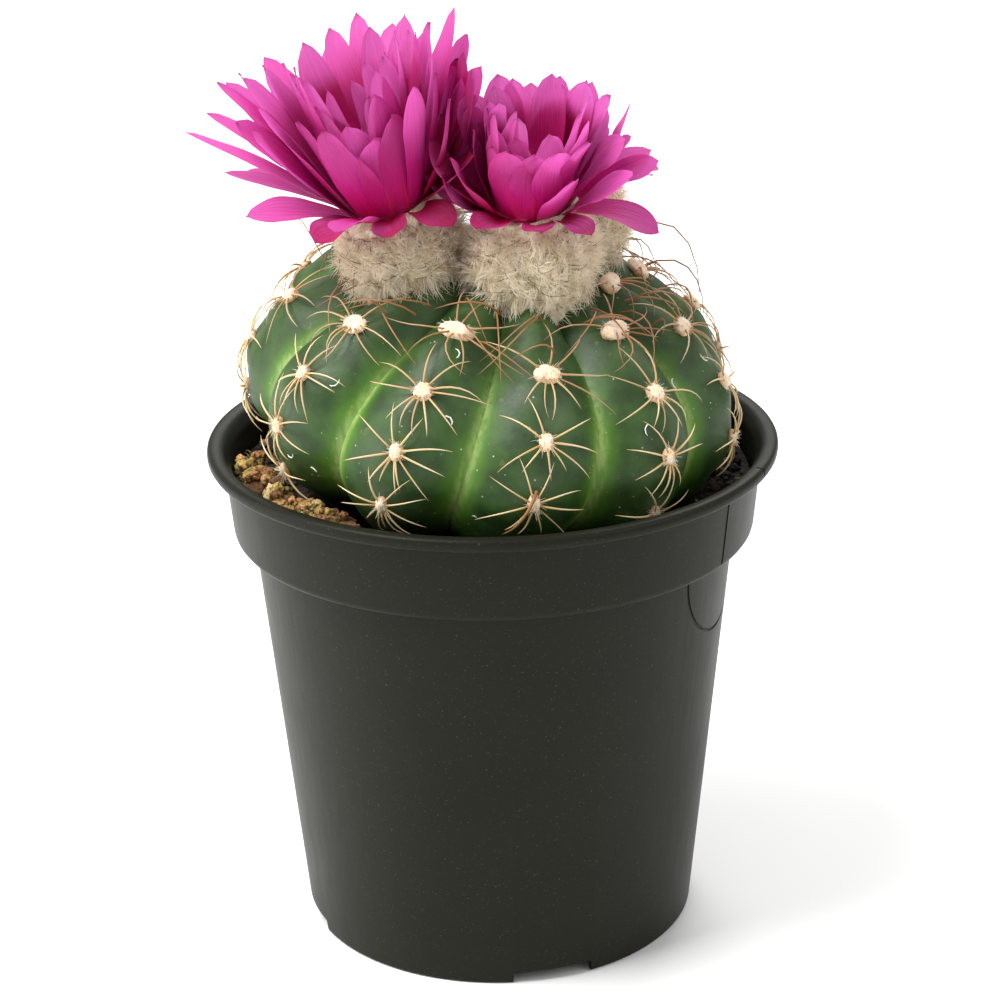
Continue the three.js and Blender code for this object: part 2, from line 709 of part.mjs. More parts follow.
// A thin bed that the crumbs are sunk into, from one end of the heap to the other.
function crumbBed() {
  const { from, to, level, innerRadius, outerRadius, slabSteps } = HEAP;
  const section = [[innerRadius, -1], [outerRadius, -1], [outerRadius, 1.6], [innerRadius, 2.4]];
  const slab = Array.from({ length: slabSteps + 1 }, (_, i) => {
    const azimuth = lerp(from, to, i / slabSteps);
    return section.map(([radius, up]) => heading(azimuth).multiplyScalar(radius).setZ(level + up));
  });
  const middleOf = (ring) => (
    ring.reduce((sum, point) => sum.add(point), new THREE.Vector3()).divideScalar(ring.length)
  );
  return ringSolid(slab, middleOf(slab[0]), middleOf(slab[slabSteps]));
}

function crumb(i) {
  const { from, to, level, innerRadius, outerRadius, crumbs, crumbRadius, crumbRise } = HEAP;
  const azimuth = lerp(from + 1, to - 1, (i + 0.5) / crumbs);
  const lump = new THREE.IcosahedronGeometry(lerp(...crumbRadius, noise(i * 3 + 1)), 0);
  lump.scale(1, 0.85, 0.8);
  lump.rotateX(noise(i * 5 + 2) * 3).rotateZ(noise(i * 7 + 3) * 6);
  const across = lerp(innerRadius, outerRadius, 0.4 + 0.3 * (i % 2)) + spread(i * 11, 0.6);
  const height = level + lerp(...crumbRise, noise(i * 13 + 4));
  return lump.translate(...heading(azimuth).multiplyScalar(across).setZ(height).toArray());
}

// The crumbs lie against each other in the gap between the plant and the pot.
function makeHeap() {
  const { level, outerRadius, crumbs } = HEAP;
  const ceiling = POT.height + 6;
  const parts = [crumbBed(), ...Array.from({ length: crumbs }, (_, i) => crumb(i))];
  const inside = [[0, level], [outerRadius, level], [outerRadius + 0.6, ceiling], [0, ceiling]];
  const room = turned(inside, POT.segments);
  return fuse(parts).intersect(solidOf(room)).subtract(solidOf(bowl()));
}

// ---------------------------------------------------------------- the object

const object = new THREE.Group();
object.add(piece('pot', geometryFrom(makePot()), COLOURS.pot));
object.add(piece('soil', geometryFrom(makeSoil()), COLOURS.soil));
object.add(piece('crumb_heap', geometryFrom(makeHeap()), COLOURS.crumbs));

const plant = new THREE.Group();
plant.applyMatrix4(plantPlace);
object.add(plant);
plant.add(piece('cactus_body', geometryFrom(makeBody()), COLOURS.body));
for (const frame of flowerFrames) {
  const { name } = frame.flower;
  plant.add(piece(`${name}_tube`, geometryFrom(makeTube(frame)), COLOURS.wool));
  plant.add(piece(`${name}_petals`, geometryFrom(makePetals(frame)), COLOURS.petals));
  plant.add(piece(`${name}_stamens`, geometryFrom(makeStamens(frame)), COLOURS.stamens));
  plant.add(piece(`${name}_stigma`, geometryFrom(makeStigma(frame)), COLOURS.stigma));
}

export default object;
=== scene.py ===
# %% [markdown]
# # A potted round cactus in flower
# A ribbed globe cactus sits in a nursery pot, with three flowers on woolly tubes at its crown.
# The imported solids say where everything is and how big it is. This script lays finer pieces over
# them, and each of those keeps the form of the solid that it stands for.

# %% The frame
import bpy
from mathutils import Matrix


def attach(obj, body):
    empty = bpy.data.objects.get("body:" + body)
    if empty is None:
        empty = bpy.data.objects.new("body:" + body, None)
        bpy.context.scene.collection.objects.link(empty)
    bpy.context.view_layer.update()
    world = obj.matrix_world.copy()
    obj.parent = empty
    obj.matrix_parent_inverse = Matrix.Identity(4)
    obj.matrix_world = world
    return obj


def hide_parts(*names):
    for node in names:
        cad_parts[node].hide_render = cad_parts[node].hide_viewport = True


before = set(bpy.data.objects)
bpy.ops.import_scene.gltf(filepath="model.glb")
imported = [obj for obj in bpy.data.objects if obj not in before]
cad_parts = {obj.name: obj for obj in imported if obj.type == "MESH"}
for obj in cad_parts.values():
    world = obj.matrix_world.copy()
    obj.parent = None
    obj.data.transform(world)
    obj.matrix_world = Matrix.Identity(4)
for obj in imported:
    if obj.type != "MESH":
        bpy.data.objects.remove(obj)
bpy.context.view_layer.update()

# %% [markdown]
# ## Units and seeds
# Blender counts in metres, and a plant like this is easier to think of in millimetres. So every
# formula here works in millimetres, and a point becomes metres as it goes into a mesh. The front
# of the plant is -Y, and an azimuth is counted from there in degrees, positive towards +X.
# The random draws all come from one small formula, so that each run grows the same plant.

# %% Units, directions and seeded draws
import math

import bpy
from mathutils import Matrix, Vector, noise as field

MM = 0.001
UP = Vector((0, 0, 1))


def draw(seed):
    """The same number between 0 and 1 for the same seed, every time."""
    value = math.sin(seed * 12.9898 + 4.1414) * 43758.5453
    return value - math.floor(value)


def spread(seed, amount):
    return (draw(seed) * 2 - 1) * amount


def between(low, high, share):
    return low + (high - low) * share


def clamp(value, low=0.0, high=1.0):
    return max(low, min(high, value))


def heading(azimuth):
    return Vector((math.sin(math.radians(azimuth)), -math.cos(math.radians(azimuth)), 0))


# %% [markdown]
# ## The camera
# The photograph looks down at the pot by about twenty degrees, through a long lens. The lens, the
# distance and the tilt were worked out from the two ellipses of the pot, its rim and its foot. The
# picture leans a little, so the camera is rolled by the same angle.

# %% Camera
CAMERA = {
    "aim": 81.3, "distance": 529.05, "elevation": 21.42, "lens": 102.4, "roll": -1.03, "shift": 0.0065,
}


def place_camera():
    lift = math.radians(CAMERA["elevation"])
    aim = Vector((0, 0, CAMERA["aim"])) * MM
    back = Vector((0, -math.cos(lift), math.sin(lift)))
    data = bpy.data.cameras.new("camera")
    data.lens = CAMERA["lens"]
    data.shift_x = CAMERA["shift"]
    camera = bpy.data.objects.new("camera", data)
    bpy.context.collection.objects.link(camera)
    roll = Matrix.Rotation(math.radians(CAMERA["roll"]), 4, "Z")
    look = (-back).to_track_quat("-Z", "Y").to_matrix().to_4x4()
    camera.matrix_world = Matrix.Translation(aim + back * CAMERA["distance"] * MM) @ look @ roll
    bpy.context.scene.camera = camera
    return camera


print("camera at", place_camera().matrix_world.translation)

# %% [markdown]
# ## Modelling helpers
# A primitive comes into the scene selected, and so do the solids that were just loaded. Everything
# is deselected before each new piece, so that an operator only reaches what it should.
# Most of this plant is round and grown, so one helper extrudes a circle from ring to ring, as one
# would by hand with E and S.

# %% Helpers: starting, growing and finishing a piece


def start(add, name, **size):
    """One of Blender's primitives, with nothing else selected."""
    bpy.ops.object.select_all(action="DESELECT")
    add(**size)
    piece = bpy.context.object
    piece.name = name
    return piece


def only(*pieces):
    """Selects some pieces and nothing else. The first of them is the active one."""
    bpy.ops.object.select_all(action="DESELECT")
    for piece in pieces:
        piece.select_set(True)
    bpy.context.view_layer.objects.active = pieces[0]
    return pieces[0]


def grown(name, sides, rings):
    """A closed round form: a flat circle, extruded from ring to ring, each (radius, height) in mm."""
    radius, height = rings[0]
    size = {"vertices": sides, "radius": radius * MM, "fill_type": "NGON"}
    piece = start(bpy.ops.mesh.primitive_circle_add, name, location=(0, 0, height * MM), **size)
    bpy.ops.object.transform_apply(location=True)
    only(piece)
    bpy.ops.object.mode_set(mode="EDIT")
    bpy.ops.mesh.select_mode(type="FACE")
    bpy.ops.mesh.select_all(action="SELECT")
    for (before, low), (radius, high) in zip(rings, rings[1:]):
        bpy.ops.mesh.extrude_region_move(TRANSFORM_OT_translate={"value": (0, 0, (high - low) * MM)})
        if radius != before:
            scale = (radius / before, radius / before, 1)
            bpy.ops.transform.resize(value=scale, center_override=(0, 0, high * MM))
    bpy.ops.mesh.select_all(action="SELECT")
    bpy.ops.mesh.remove_doubles(threshold=0.01 * MM)
    bpy.ops.mesh.normals_make_consistent(inside=False)
    bpy.ops.object.mode_set(mode="OBJECT")
    return piece


def with_modifier(piece, kind, **settings):
    """Adds a modifier and applies it at once."""
    modifier = only(piece).modifiers.new(kind.lower(), kind)
    for name, value in settings.items():
        setattr(modifier, name, value)
    bpy.ops.object.modifier_apply(modifier=modifier.name)
    return piece


def cut(piece, *tools):
    """Cuts tools out of a piece and throws them away."""
    for tool in tools:
        with_modifier(piece, "BOOLEAN", object=tool, operation="DIFFERENCE", solver="EXACT")
        bpy.data.objects.remove(tool)
    return piece


def smooth(piece, angle):
    only(piece)
    bpy.ops.object.shade_smooth_by_angle(angle=math.radians(angle))
    return piece


def finished(piece, material, slot, *nodes):
    """Gives a piece its material, puts it on the body that it rides on and hides the solids that it stands
    for.
    """
    piece.data.materials.clear()
    piece.data.materials.append(material)
    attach(piece, "root")
    if nodes:
        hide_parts(*nodes)
    triangles = sum(len(face.vertices) - 2 for face in piece.data.polygons)
    print(f"{piece.name}: {triangles} triangles")
    return piece


# %% [markdown]
# Spines, petals, hairs and crumbs repeat. Each is modelled once, as a master, and then copied. A
# copy gets a mesh of its own, whose points are moved to where it grows, and a few numbers that its
# material can read, such as how far along the spine a point is. The copies are then joined.

# %% Helpers: copies of a master


def mark(mesh, name, values):
    """Keeps one number for each point of a mesh, for the material to read."""
    layer = mesh.attributes.get(name) or mesh.attributes.new(name, "FLOAT", "POINT")
    layer.data.foreach_set("value", values)


def mark_way(master, length):
    """How far along an upright master each point is, from 0 to 1."""
    mark(master.data, "way", [v.co.z / MM / length for v in master.data.vertices])


def reshaped(piece, move):
    """Moves every point of a piece. move takes a point, in mm, to its place, in mm."""
    for vertex in piece.data.vertices:
        vertex.co = move(vertex.co / MM) * MM
    return piece


def copy_of(master, move, **marks):
    """A copy with its own mesh, reshaped by move. A mark is one number for the whole copy."""
    twin = bpy.data.objects.new(master.name, master.data.copy())
    bpy.context.collection.objects.link(twin)
    reshaped(twin, move)
    for name, value in marks.items():
        mark(twin.data, name, [value] * len(twin.data.vertices))
    return twin


def joined(name, twins):
    whole = only(*twins)
    if len(twins) > 1:
        bpy.ops.object.join()
    whole.name = name
    return whole


def drop(*masters):
    for master in masters:
        bpy.data.objects.remove(master)


def along(path, length, thickness=1.0, side=UP):
    """Bends an upright master of a given length along a path, a function of 0 to 1."""
    step = 0.02

    def move(point):
        share = point.z / length
        here = path(share)
        ahead = (path(share + step) - path(share - step)).normalized()
        across = side.cross(ahead).normalized()
        return here + (across * point.x + ahead.cross(across) * point.y) * thickness

    return move


def bow(first, bend, last):
    """A path from first to last that is pulled towards bend."""
    return lambda share: first.lerp(bend, share).lerp(bend.lerp(last, share), share)


def arc(start_point, direction, bend, length):
    """A path that leaves a point in a direction and is bent more and more towards bend."""
    def path(share):
        return start_point + direction * (length * share) + bend * (length * share * share)

    return path


# %% [markdown]
# ## Writing materials as sums
# A node graph is easier to read as arithmetic. The class Link wraps one output of a node, and the
# usual signs add Math nodes to it. The class Finish holds a new material, and its method node makes
# any other node. A colour is given by the six digits that an image editor shows, and most finishes
# are a ground colour with others layered over it, each where its own mask is bright.

# %% Helpers: colours and sums


def paint(code):
    """A colour as Blender wants it, from its six digits."""
    shares = [int(code[i:i + 2], 16) / 255 for i in (0, 2, 4)]
    return (*(s / 12.92 if s <= 0.04045 else ((s + 0.055) / 1.055) ** 2.4 for s in shares), 1.0)


class Link:
    """An output of a node. Arithmetic on it adds Math nodes."""

    def __init__(self, finish, socket):
        self.finish = finish
        self.socket = socket

    def math(self, operation, *values):
        return self.finish.node("Math", dict(enumerate(values)), operation=operation)

    def __add__(self, other):
        return self.math("ADD", self, other)

    def __sub__(self, other):
        return self.math("SUBTRACT", self, other)

    def __rsub__(self, other):
        return self.math("SUBTRACT", other, self)

    def __mul__(self, other):
        return self.math("MULTIPLY", self, other)

    def __pow__(self, other):
        return self.math("POWER", self, other)

    __radd__ = __add__
    __rmul__ = __mul__

    def between(self, low, high):
        """0 below low, 1 above high and a soft step from one to the other."""
        settings = {"interpolation_type": "SMOOTHSTEP"}
        return self.finish.node("MapRange", {"Value": self, "From Min": low, "From Max": high}, **settings)


# %% Helpers: materials


class Finish:
    """A new material, written as sums on its nodes."""

    def __init__(self, name):
        self.material = bpy.data.materials.new(name)
        self.material.use_nodes = True
        self.tree = self.material.node_tree
        self.tree.nodes.clear()

    def node(self, kind, inputs=None, out=0, stops=(), **settings):
        """Any node. Its inputs are numbers, links or the codes of colours."""
        made = self.tree.nodes.new("ShaderNode" + kind)
        for name, value in settings.items():
            setattr(made, name, value)
        for _ in stops[2:]:
            made.color_ramp.elements.new(0.5)
        for i, (position, code) in enumerate(stops):
            made.color_ramp.elements[i].position = position
            made.color_ramp.elements[i].color = paint(code)
        for name, value in (inputs or {}).items():
            if isinstance(value, Link):
                self.tree.links.new(value.socket, made.inputs[name])
            else:
                made.inputs[name].default_value = paint(value) if isinstance(value, str) else value
        return Link(self, made.outputs[out])

    def place(self):
        """The point on the piece, in metres."""
        return self.node("TexCoord", out=3)

    def read(self, name):
        return self.node("Attribute", out=2, attribute_name=name)

    def cloud(self, size, detail, stretch=(1, 1, 1)):
        """Soft noise between 0 and 1. size is its grain in mm."""
        scaled = self.node("Mapping", {"Vector": self.place(), "Scale": stretch})
        return self.node("TexNoise", {"Vector": scaled, "Scale": 1 / (size * MM), "Detail": detail})

    def cells(self, size):
        """The distance from the middle of each of many small cells. size is a cell's width in mm."""
        return self.node("TexVoronoi", {"Vector": self.place(), "Scale": 1 / (size * MM)})

    def mix(self, share, first, second):
        return self.node("Mix", {0: share, 6: first, 7: second}, out=2, data_type="RGBA")

    def layered(self, ground, *layers):
        """Lays colours over a ground colour, each as (share, colour)."""
        for share, colour in layers:
            ground = self.mix(share, ground, colour)
        return ground

    def ramp(self, share, *stops):
        return self.node("ValToRGB", {0: share}, stops=stops)

    def bump(self, height, depth, strength=1.0):
        """depth is in mm."""
        return self.node("Bump", {"Height": height, "Distance": depth * MM, "Strength": strength})

    def surface(self, **inputs):
        """The main shader. A socket's name is written with _ for a space."""
        named = {name.replace("_", " "): value for name, value in inputs.items()}
        return self.node("BsdfPrincipled", named)

    def sheet(self, share, skin, colour):
        """A thin sheet: a share of the light comes through it in one colour."""
        through = self.node("BsdfTranslucent", {"Color": colour})
        return self.done(self.node("MixShader", {0: share, 1: skin, 2: through}))

    def done(self, shader):
        made = self.tree.nodes.new("ShaderNodeOutputMaterial")
        self.tree.links.new(shader.socket, made.inputs["Surface"])
        return self.material

    def coat(self, **inputs):
        """The whole material, where it is the main shader and nothing else."""
        return self.done(self.surface(**inputs))


# %% [markdown]
# ## The floor and the light
# The photograph was taken on a white sweep under broad soft light, so the floor is nearly white and
# runs out of the picture. A large soft box stands above and to the left, a low one gives the pot its
# bright left side, and one behind shines through the petals. A weak one on the right and the white
# sky fill the shadows.

# %% Floor, lights and sky
SOFT_BOXES = {  # a place and a size in metres, and a power in watts
    "key": ((-0.5, -0.2, 1.0), 0.5, 13),
    "side": ((-0.85, -0.1, 0.3), 0.6, 3.5),
    "fill": ((0.75, -0.35, 0.6), 0.5, 2),
    "back": ((0.1, 0.8, 0.9), 0.7, 9),
}
SKY_STRENGTH = 0.52


def make_floor():
    floor = start(bpy.ops.mesh.primitive_plane_add, "floor", size=8)
    finish = Finish("white_sweep")
    white = finish.mix(finish.cloud(60, 3), "f7f6f5", "fbfbfb")
    floor.data.materials.append(finish.coat(Base_Color=white, Roughness=0.7))


def soft_box(name, at, size, power):
    """A square lamp that faces the plant."""
    data = bpy.data.lights.new(name, "AREA")
    data.size = size
    data.energy = power
    lamp = bpy.data.objects.new(name, data)
    bpy.context.collection.objects.link(lamp)
    aim = Vector((0, 0, 0.1))
    lamp.location = at
    lamp.rotation_euler = (aim - Vector(at)).to_track_quat("-Z", "Y").to_euler()


make_floor()
for name, (at, size, power) in SOFT_BOXES.items():
    soft_box(name, at, size, power)

sky = bpy.data.worlds.new("sky")
sky.use_nodes = True
light = sky.node_tree.nodes["Background"].inputs
light["Color"].default_value = (1, 1, 1, 1)
light["Strength"].default_value = SKY_STRENGTH
bpy.context.scene.world = sky
bpy.context.scene.view_settings.view_transform = "Standard"

# %% [markdown]
# ## The pot
# The pot is one moulding of thin black plastic: a tapered wall, a step out to a collar, and a lip
# that is rolled over. A lathe profile is the natural way to make it. The profile goes down one side
# of the wall and up the other, and its corners are rounded before the ring is extruded along it.

# %% Pot: its profile
POT = {
    "height": 94.5, "wall": 1.2, "sides": 144,
    "lip": 52.5, "lip_drop": 2.7, "mouth": 50.6, "collar_top": 49.5, "collar_bottom": 48.1,
    "step": 77.5, "wall_top": 44.6, "foot": 36.9, "foot_width": 1.8, "floor": 3.2,
}


def pot_inside(height):
    """Inner radius of the collar and the wall at a height."""
    shelf = POT["step"] + POT["wall"]
    lip_foot = POT["height"] - POT["lip_drop"]
    if height >= shelf:
        share = (height - shelf) / (lip_foot - shelf)
        return between(POT["collar_bottom"], POT["collar_top"], share) - POT["wall"]
    return between(POT["foot"], POT["wall_top"], height / POT["step"]) - POT["wall"]


def rounded(before, corner, after, radius, steps=4):
    """Points that round one corner of a profile."""
    before, corner, after = Vector(before), Vector(corner), Vector(after)
    first = corner + (before - corner).normalized() * min(radius, (before - corner).length * 0.45)
    last = corner + (after - corner).normalized() * min(radius, (after - corner).length * 0.45)
    points = []
    for i in range(steps + 1):
        share = i / steps
        points.append(tuple(first.lerp(corner, share).lerp(corner.lerp(last, share), share)))
    return points


def pot_rings():
    """The profile, from the underside of the floor, out, up, over the lip and back down inside."""
    top, wall, step = POT["height"], POT["wall"], POT["step"]
    lip_foot = top - POT["lip_drop"]
    shelf = step + wall
    floor_top = POT["floor"] + wall
    inner_foot = POT["foot"] - POT["foot_width"]
    corners = [
        (inner_foot, POT["floor"], 0),
        (inner_foot + 0.1, 0, 0.3),
        (POT["foot"], 0, 0.7),
        (POT["wall_top"], step, 0.4),
        (POT["collar_bottom"], step, 1.5),
        (POT["collar_top"], lip_foot, 0.5),
        (POT["lip"], lip_foot + 0.3, 1.1),
        (POT["lip"], top, 1.1),
        (POT["mouth"] - 0.8, top, 1.2),
        (pot_inside(lip_foot), lip_foot, 0.6),
        (pot_inside(shelf), shelf, 0.5),
        (pot_inside(step), shelf - wall / 2, 0.6),
        (pot_inside(floor_top), floor_top, 0),
    ]
    rings = [corners[0][:2]]
    for before, (radius, height, bevel), after in zip(corners, corners[1:], corners[2:]):
        rings += rounded(before[:2], (radius, height), after[:2], bevel)
    return rings + [corners[-1][:2]]


print("pot profile:", len(pot_rings()), "rings")

# %% [markdown]
# Four shallow notches in the foot ring let water out, and there is a drain hole inward of each. The
# mould also left a pocket for a plant label on the right side: a half round line under the step and
# two upright lines on the collar. All of these are cut out of the lathe form. A thin crack in the
# lip beside it is cut in the same way.

# %% Pot: notches, drain holes, label pocket and a crack
NOTCH = {"count": 4, "azimuth": 15, "width": 15, "height": 2.4}
DRAIN = {"radius": 4.5, "distance": 27}
POCKET = {"azimuth": 70.2, "radius": 15.3, "side": 11.2, "line": 0.35, "low": 78.6, "high": 90.5}
CRACK = {"azimuth": 67, "width": 0.45, "depth": 1.7}


def notch_cutter(azimuth):
    at = heading(azimuth) * POT["foot"] * MM
    tool = start(bpy.ops.mesh.primitive_cube_add, "notch", size=1, location=at)
    tool.rotation_euler.z = math.radians(azimuth)
    tool.scale = (NOTCH["width"] * MM, 8 * MM, NOTCH["height"] * 2 * MM)
    bpy.ops.object.transform_apply(location=True, rotation=True, scale=True)
    return with_modifier(tool, "BEVEL", width=0.5 * MM, segments=2)


def drain_cutter(azimuth):
    at = heading(azimuth) * DRAIN["distance"] + UP * (POT["floor"] + POT["wall"] / 2)
    add = bpy.ops.mesh.primitive_cylinder_add
    tool = start(add, "drain", vertices=32, radius=DRAIN["radius"] * MM, depth=6 * MM, location=at * MM)
    bpy.ops.object.transform_apply(location=True)
    return tool


def on_pot(sideways, height):
    """A point on the outside of the pot, given as a distance sideways from the pocket's middle."""
    if height >= POT["step"]:
        share = (height - POT["step"]) / (POT["height"] - POT["step"])
        radius = between(POT["collar_bottom"], POT["collar_top"], share)
    else:
        radius = between(POT["foot"], POT["wall_top"], height / POT["step"])
    turn = math.degrees(sideways / radius)
    return heading(POCKET["azimuth"] + turn) * radius + UP * height


def groove_cutter(points):
    """A thin rod along a few points, as a curve that becomes a mesh."""
    data = bpy.data.curves.new("groove", "CURVE")
    data.dimensions = "3D"
    data.bevel_depth = POCKET["line"] * MM
    data.bevel_resolution = 1
    data.use_fill_caps = True
    spline = data.splines.new("POLY")
    spline.points.add(len(points) - 1)
    for slot, point in zip(spline.points, points):
        slot.co = (*(point * MM), 1)
    tool = bpy.data.objects.new("groove", data)
    bpy.context.collection.objects.link(tool)
    only(tool)
    bpy.ops.object.convert(target="MESH")
    return bpy.context.object


def pocket_cutters():
    steps = 24
    round_line = []
    for i in range(steps + 1):
        angle = math.pi * i / steps
        across, down = POCKET["radius"] * math.cos(angle), POCKET["radius"] * math.sin(angle)
        round_line.append(on_pot(across, POT["step"] - POCKET["line"] - down))
    heights = (POCKET["low"], POCKET["high"])
    sides = [[on_pot(side * POCKET["side"], height) for height in heights] for side in (-1, 1)]
    return [groove_cutter(points) for points in (round_line, *sides)]


def crack_cutter():
    at = (heading(CRACK["azimuth"]) * (POT["lip"] + 0.2) + UP * (POT["height"] - 0.6)) * MM
    tool = start(bpy.ops.mesh.primitive_cube_add, "crack", size=1, location=at)
    tool.rotation_euler.z = math.radians(CRACK["azimuth"] + 12)
    tool.scale = (CRACK["width"] * MM, CRACK["depth"] * 2 * MM, 1.8 * MM)
    bpy.ops.object.transform_apply(location=True, rotation=True, scale=True)
    return tool


# %% [markdown]
# The plastic is a dark olive grey with a satin skin. It carries fine scuffs, a few specks of dust
# and a faint unevenness from the mould.

# %% Pot: plastic


def black_plastic():
    finish = Finish("black_plastic")
    scuffs, patches = finish.cloud(1.1, 4, stretch=(1, 1, 0.12)), finish.cloud(18, 3)
    dust = finish.cloud(0.35, 2).between(0.66, 0.75)
    black = finish.mix(patches, "191a12", "202118")
    return finish.coat(
        Base_Color=finish.mix(dust * 0.18, black, "8a8878"), Specular_IOR_Level=0.1,
        Roughness=0.32 + 0.12 * scuffs + 0.1 * patches,
        Normal=finish.bump(finish.cloud(0.45, 3) * 0.5 + patches, 0.05, 0.35),
    )


# %% Pot: made


def make_pot():
    pot = grown("pot_moulding", POT["sides"], pot_rings())
    tools = []
    for i in range(NOTCH["count"]):
        azimuth = NOTCH["azimuth"] + 360 / NOTCH["count"] * i
        tools += [notch_cutter(azimuth), drain_cutter(azimuth)]
    cut(pot, *tools, *pocket_cutters(), crack_cutter())
    smooth(pot, 35)
    return finished(pot, black_plastic(), "pot", "pot")


make_pot()

# %% [markdown]
# ## The plant's skin
# The body is a flattened globe. Seen from the side it follows a superellipse, and eleven broad ribs
# run from the crown to the root with narrow furrows between them. Each rib swells a little under
# every cushion of spines. The whole plant leans to the right and to the front.
# A sphere primitive has the right rows and columns, so its points are only moved to where the
# formula puts them.

# %% Plant: the formula of its skin
PLANT = {
    "centre": Vector((0, 0, 104.1)), "lean_right": 7.5, "lean_front": 7.1,
    "radius": 44.8, "half_height": 25.8, "roundness": 2.08,
    "ribs": 11, "rib_azimuth": 8.8, "rib_twist": 0.088, "furrow_depth": 4.2, "furrow_power": 1.9,
    "chin": 0.35, "columns_per_rib": 28, "rows": 112,
}
AREOLE = {"pitch": 22, "lowest": -22, "highest": 64, "radius": 1.7, "crown_radius": 2.4}

lean = Matrix.Rotation(math.radians(PLANT["lean_front"]), 4, "X")
lean = lean @ Matrix.Rotation(math.radians(PLANT["lean_right"]), 4, "Y")
PLACE = Matrix.Translation(PLANT["centre"]) @ lean


def power(value, exponent):
    return math.copysign(abs(value) ** exponent, value)


def crest_azimuth(rib, angle):
    """Azimuth of a rib's crest at a height angle: 0 at the widest level, 90 at the crown."""
    return PLANT["rib_azimuth"] + 360 / PLANT["ribs"] * rib + PLANT["rib_twist"] * angle


def rib_number(azimuth, angle):
    """The rib that a point is on, counted from the front, and how far off its crest: 1 in the furrow."""
    pitch = 360 / PLANT["ribs"]
    count = (azimuth - crest_azimuth(0, angle)) / pitch
    return round(count), 2 * abs(count - round(count))


def is_odd(rib):
    """Neighbouring ribs carry their cushions half a pitch apart."""
    rib %= PLANT["ribs"]
    return abs(rib if rib <= PLANT["ribs"] / 2 else rib - PLANT["ribs"]) % 2


def on_body(azimuth, angle, lift=0.0, furrows=1.0):
    """A point over the plant's skin and the outward normal, in the plant's own frame."""
    exponent = 2 / PLANT["roundness"]
    across = PLANT["radius"] * power(math.cos(math.radians(angle)), exponent)
    height = PLANT["half_height"] * power(math.sin(math.radians(angle)), exponent)
    slope = Vector((
        power(across / PLANT["radius"], PLANT["roundness"] - 1) / PLANT["radius"],
        power(height / PLANT["half_height"], PLANT["roundness"] - 1) / PLANT["half_height"],
    )).normalized()
    rib, off = rib_number(azimuth, angle)
    narrow = min(1.0, across / (0.5 * PLANT["radius"]))
    depth = PLANT["furrow_depth"] * narrow * off ** PLANT["furrow_power"]
    steps = angle / AREOLE["pitch"] - is_odd(rib) / 2
    chin = PLANT["chin"] * narrow * (1 - off) ** 1.5 * math.cos(2 * math.pi * (steps + 0.2))
    normal = heading(azimuth) * slope.x + UP * slope.y
    point = heading(azimuth) * across + UP * height
    return point + normal * (lift - (depth - chin) * furrows), normal


print("crown at", PLACE @ on_body(0, 90)[0], "front at", PLACE @ on_body(0, 0)[0])

# %% [markdown]
# The skin is a waxy dark green. Along every furrow it is a fresh yellow green, brightest at the
# widest level and gone near the crown, and a thin pale seam runs down the very bottom of it. Points
# of the mesh remember how far they are off the crest and how high they are, because a pattern that
# follows the ribs can't be painted from coordinates alone.

# %% Plant: skin finish


def green_skin():
    finish = Finish("green_skin")
    off, level = finish.read("off"), finish.read("level")
    mottle, fine = finish.cloud(5, 4), finish.cloud(0.6, 3)
    dashes = finish.cloud(0.9, 3, stretch=(1, 1, 0.22))
    low, high = 1 - level.between(-0.55, -0.15), level.between(0.2, 0.7)
    waver = off + 0.1 * (mottle - 0.5)
    glow = waver.between(0.52, 1.04) ** 1.8 * (1 - high) * (1 - 0.6 * low)
    broken = 0.3 + 0.7 * dashes.between(0.35, 0.6)
    seam = (off + 0.06 * (fine - 0.5)).between(0.84, 1.0) * (1 - high) * broken
    # The grey bloom on the crests is partly a waxy bloom and partly painted highlight, where the crests catch
    # the light.
    bloom = (1 - off).between(0.35, 0.95) * finish.cloud(7, 3).between(0.4, 0.75)
    dots = (1 - finish.cells(1.3).between(0.08, 0.15)) * finish.cloud(3.1, 2).between(0.52, 0.64)
    scars = finish.cloud(2.2, 5, stretch=(1, 1, 0.5)).between(0.68, 0.74)
    layers = [(glow * 0.95, "5a8c1f"), (seam * 0.62, "a9b877"), (bloom * 0.2, "86967a")]
    layers += [(dots * 0.7, "cdd9be"), (scars * 0.3, "857c50")]
    green = finish.mix(mottle.between(0.35, 0.65), "213b12", "31501c")
    return finish.coat(
        Base_Color=finish.layered(green, *layers), Roughness=0.33 + 0.18 * mottle + 0.16 * fine,
        Normal=finish.bump(finish.cloud(0.9, 3) + 0.4 * mottle, 0.09, 0.55), Specular_IOR_Level=0.4,
        Subsurface_Weight=0.06, Subsurface_Radius=(0.001, 0.003, 0.0006), Subsurface_Scale=1.0,
    )


# %% Plant: body made
ROOT = [(3, 58), (7.2, 74), (9, 89)]  # the neck under the soil, as (radius, height)


def make_body():
    columns = PLANT["ribs"] * PLANT["columns_per_rib"]
    add = bpy.ops.mesh.primitive_uv_sphere_add
    body = start(add, "cactus_skin", segments=columns, ring_count=PLANT["rows"], radius=1)
    offs, levels = [], []
    for vertex in body.data.vertices:
        angle = math.degrees(math.asin(clamp(vertex.co.z, -1, 1)))
        azimuth = math.degrees(math.atan2(vertex.co.x, -vertex.co.y)) + crest_azimuth(0, angle)
        offs.append(rib_number(azimuth, angle)[1])
        levels.append(angle / 90)
        vertex.co = PLACE @ on_body(azimuth, angle)[0] * MM
    mark(body.data, "off", offs)
    mark(body.data, "level", levels)
    neck = grown("neck", 48, ROOT)
    mark(neck.data, "level", [-1.0] * len(neck.data.vertices))
    whole = joined("cactus_skin", [body, neck])
    smooth(whole, 60)
    return finished(whole, green_skin(), "body", "cactus_body")


make_body()

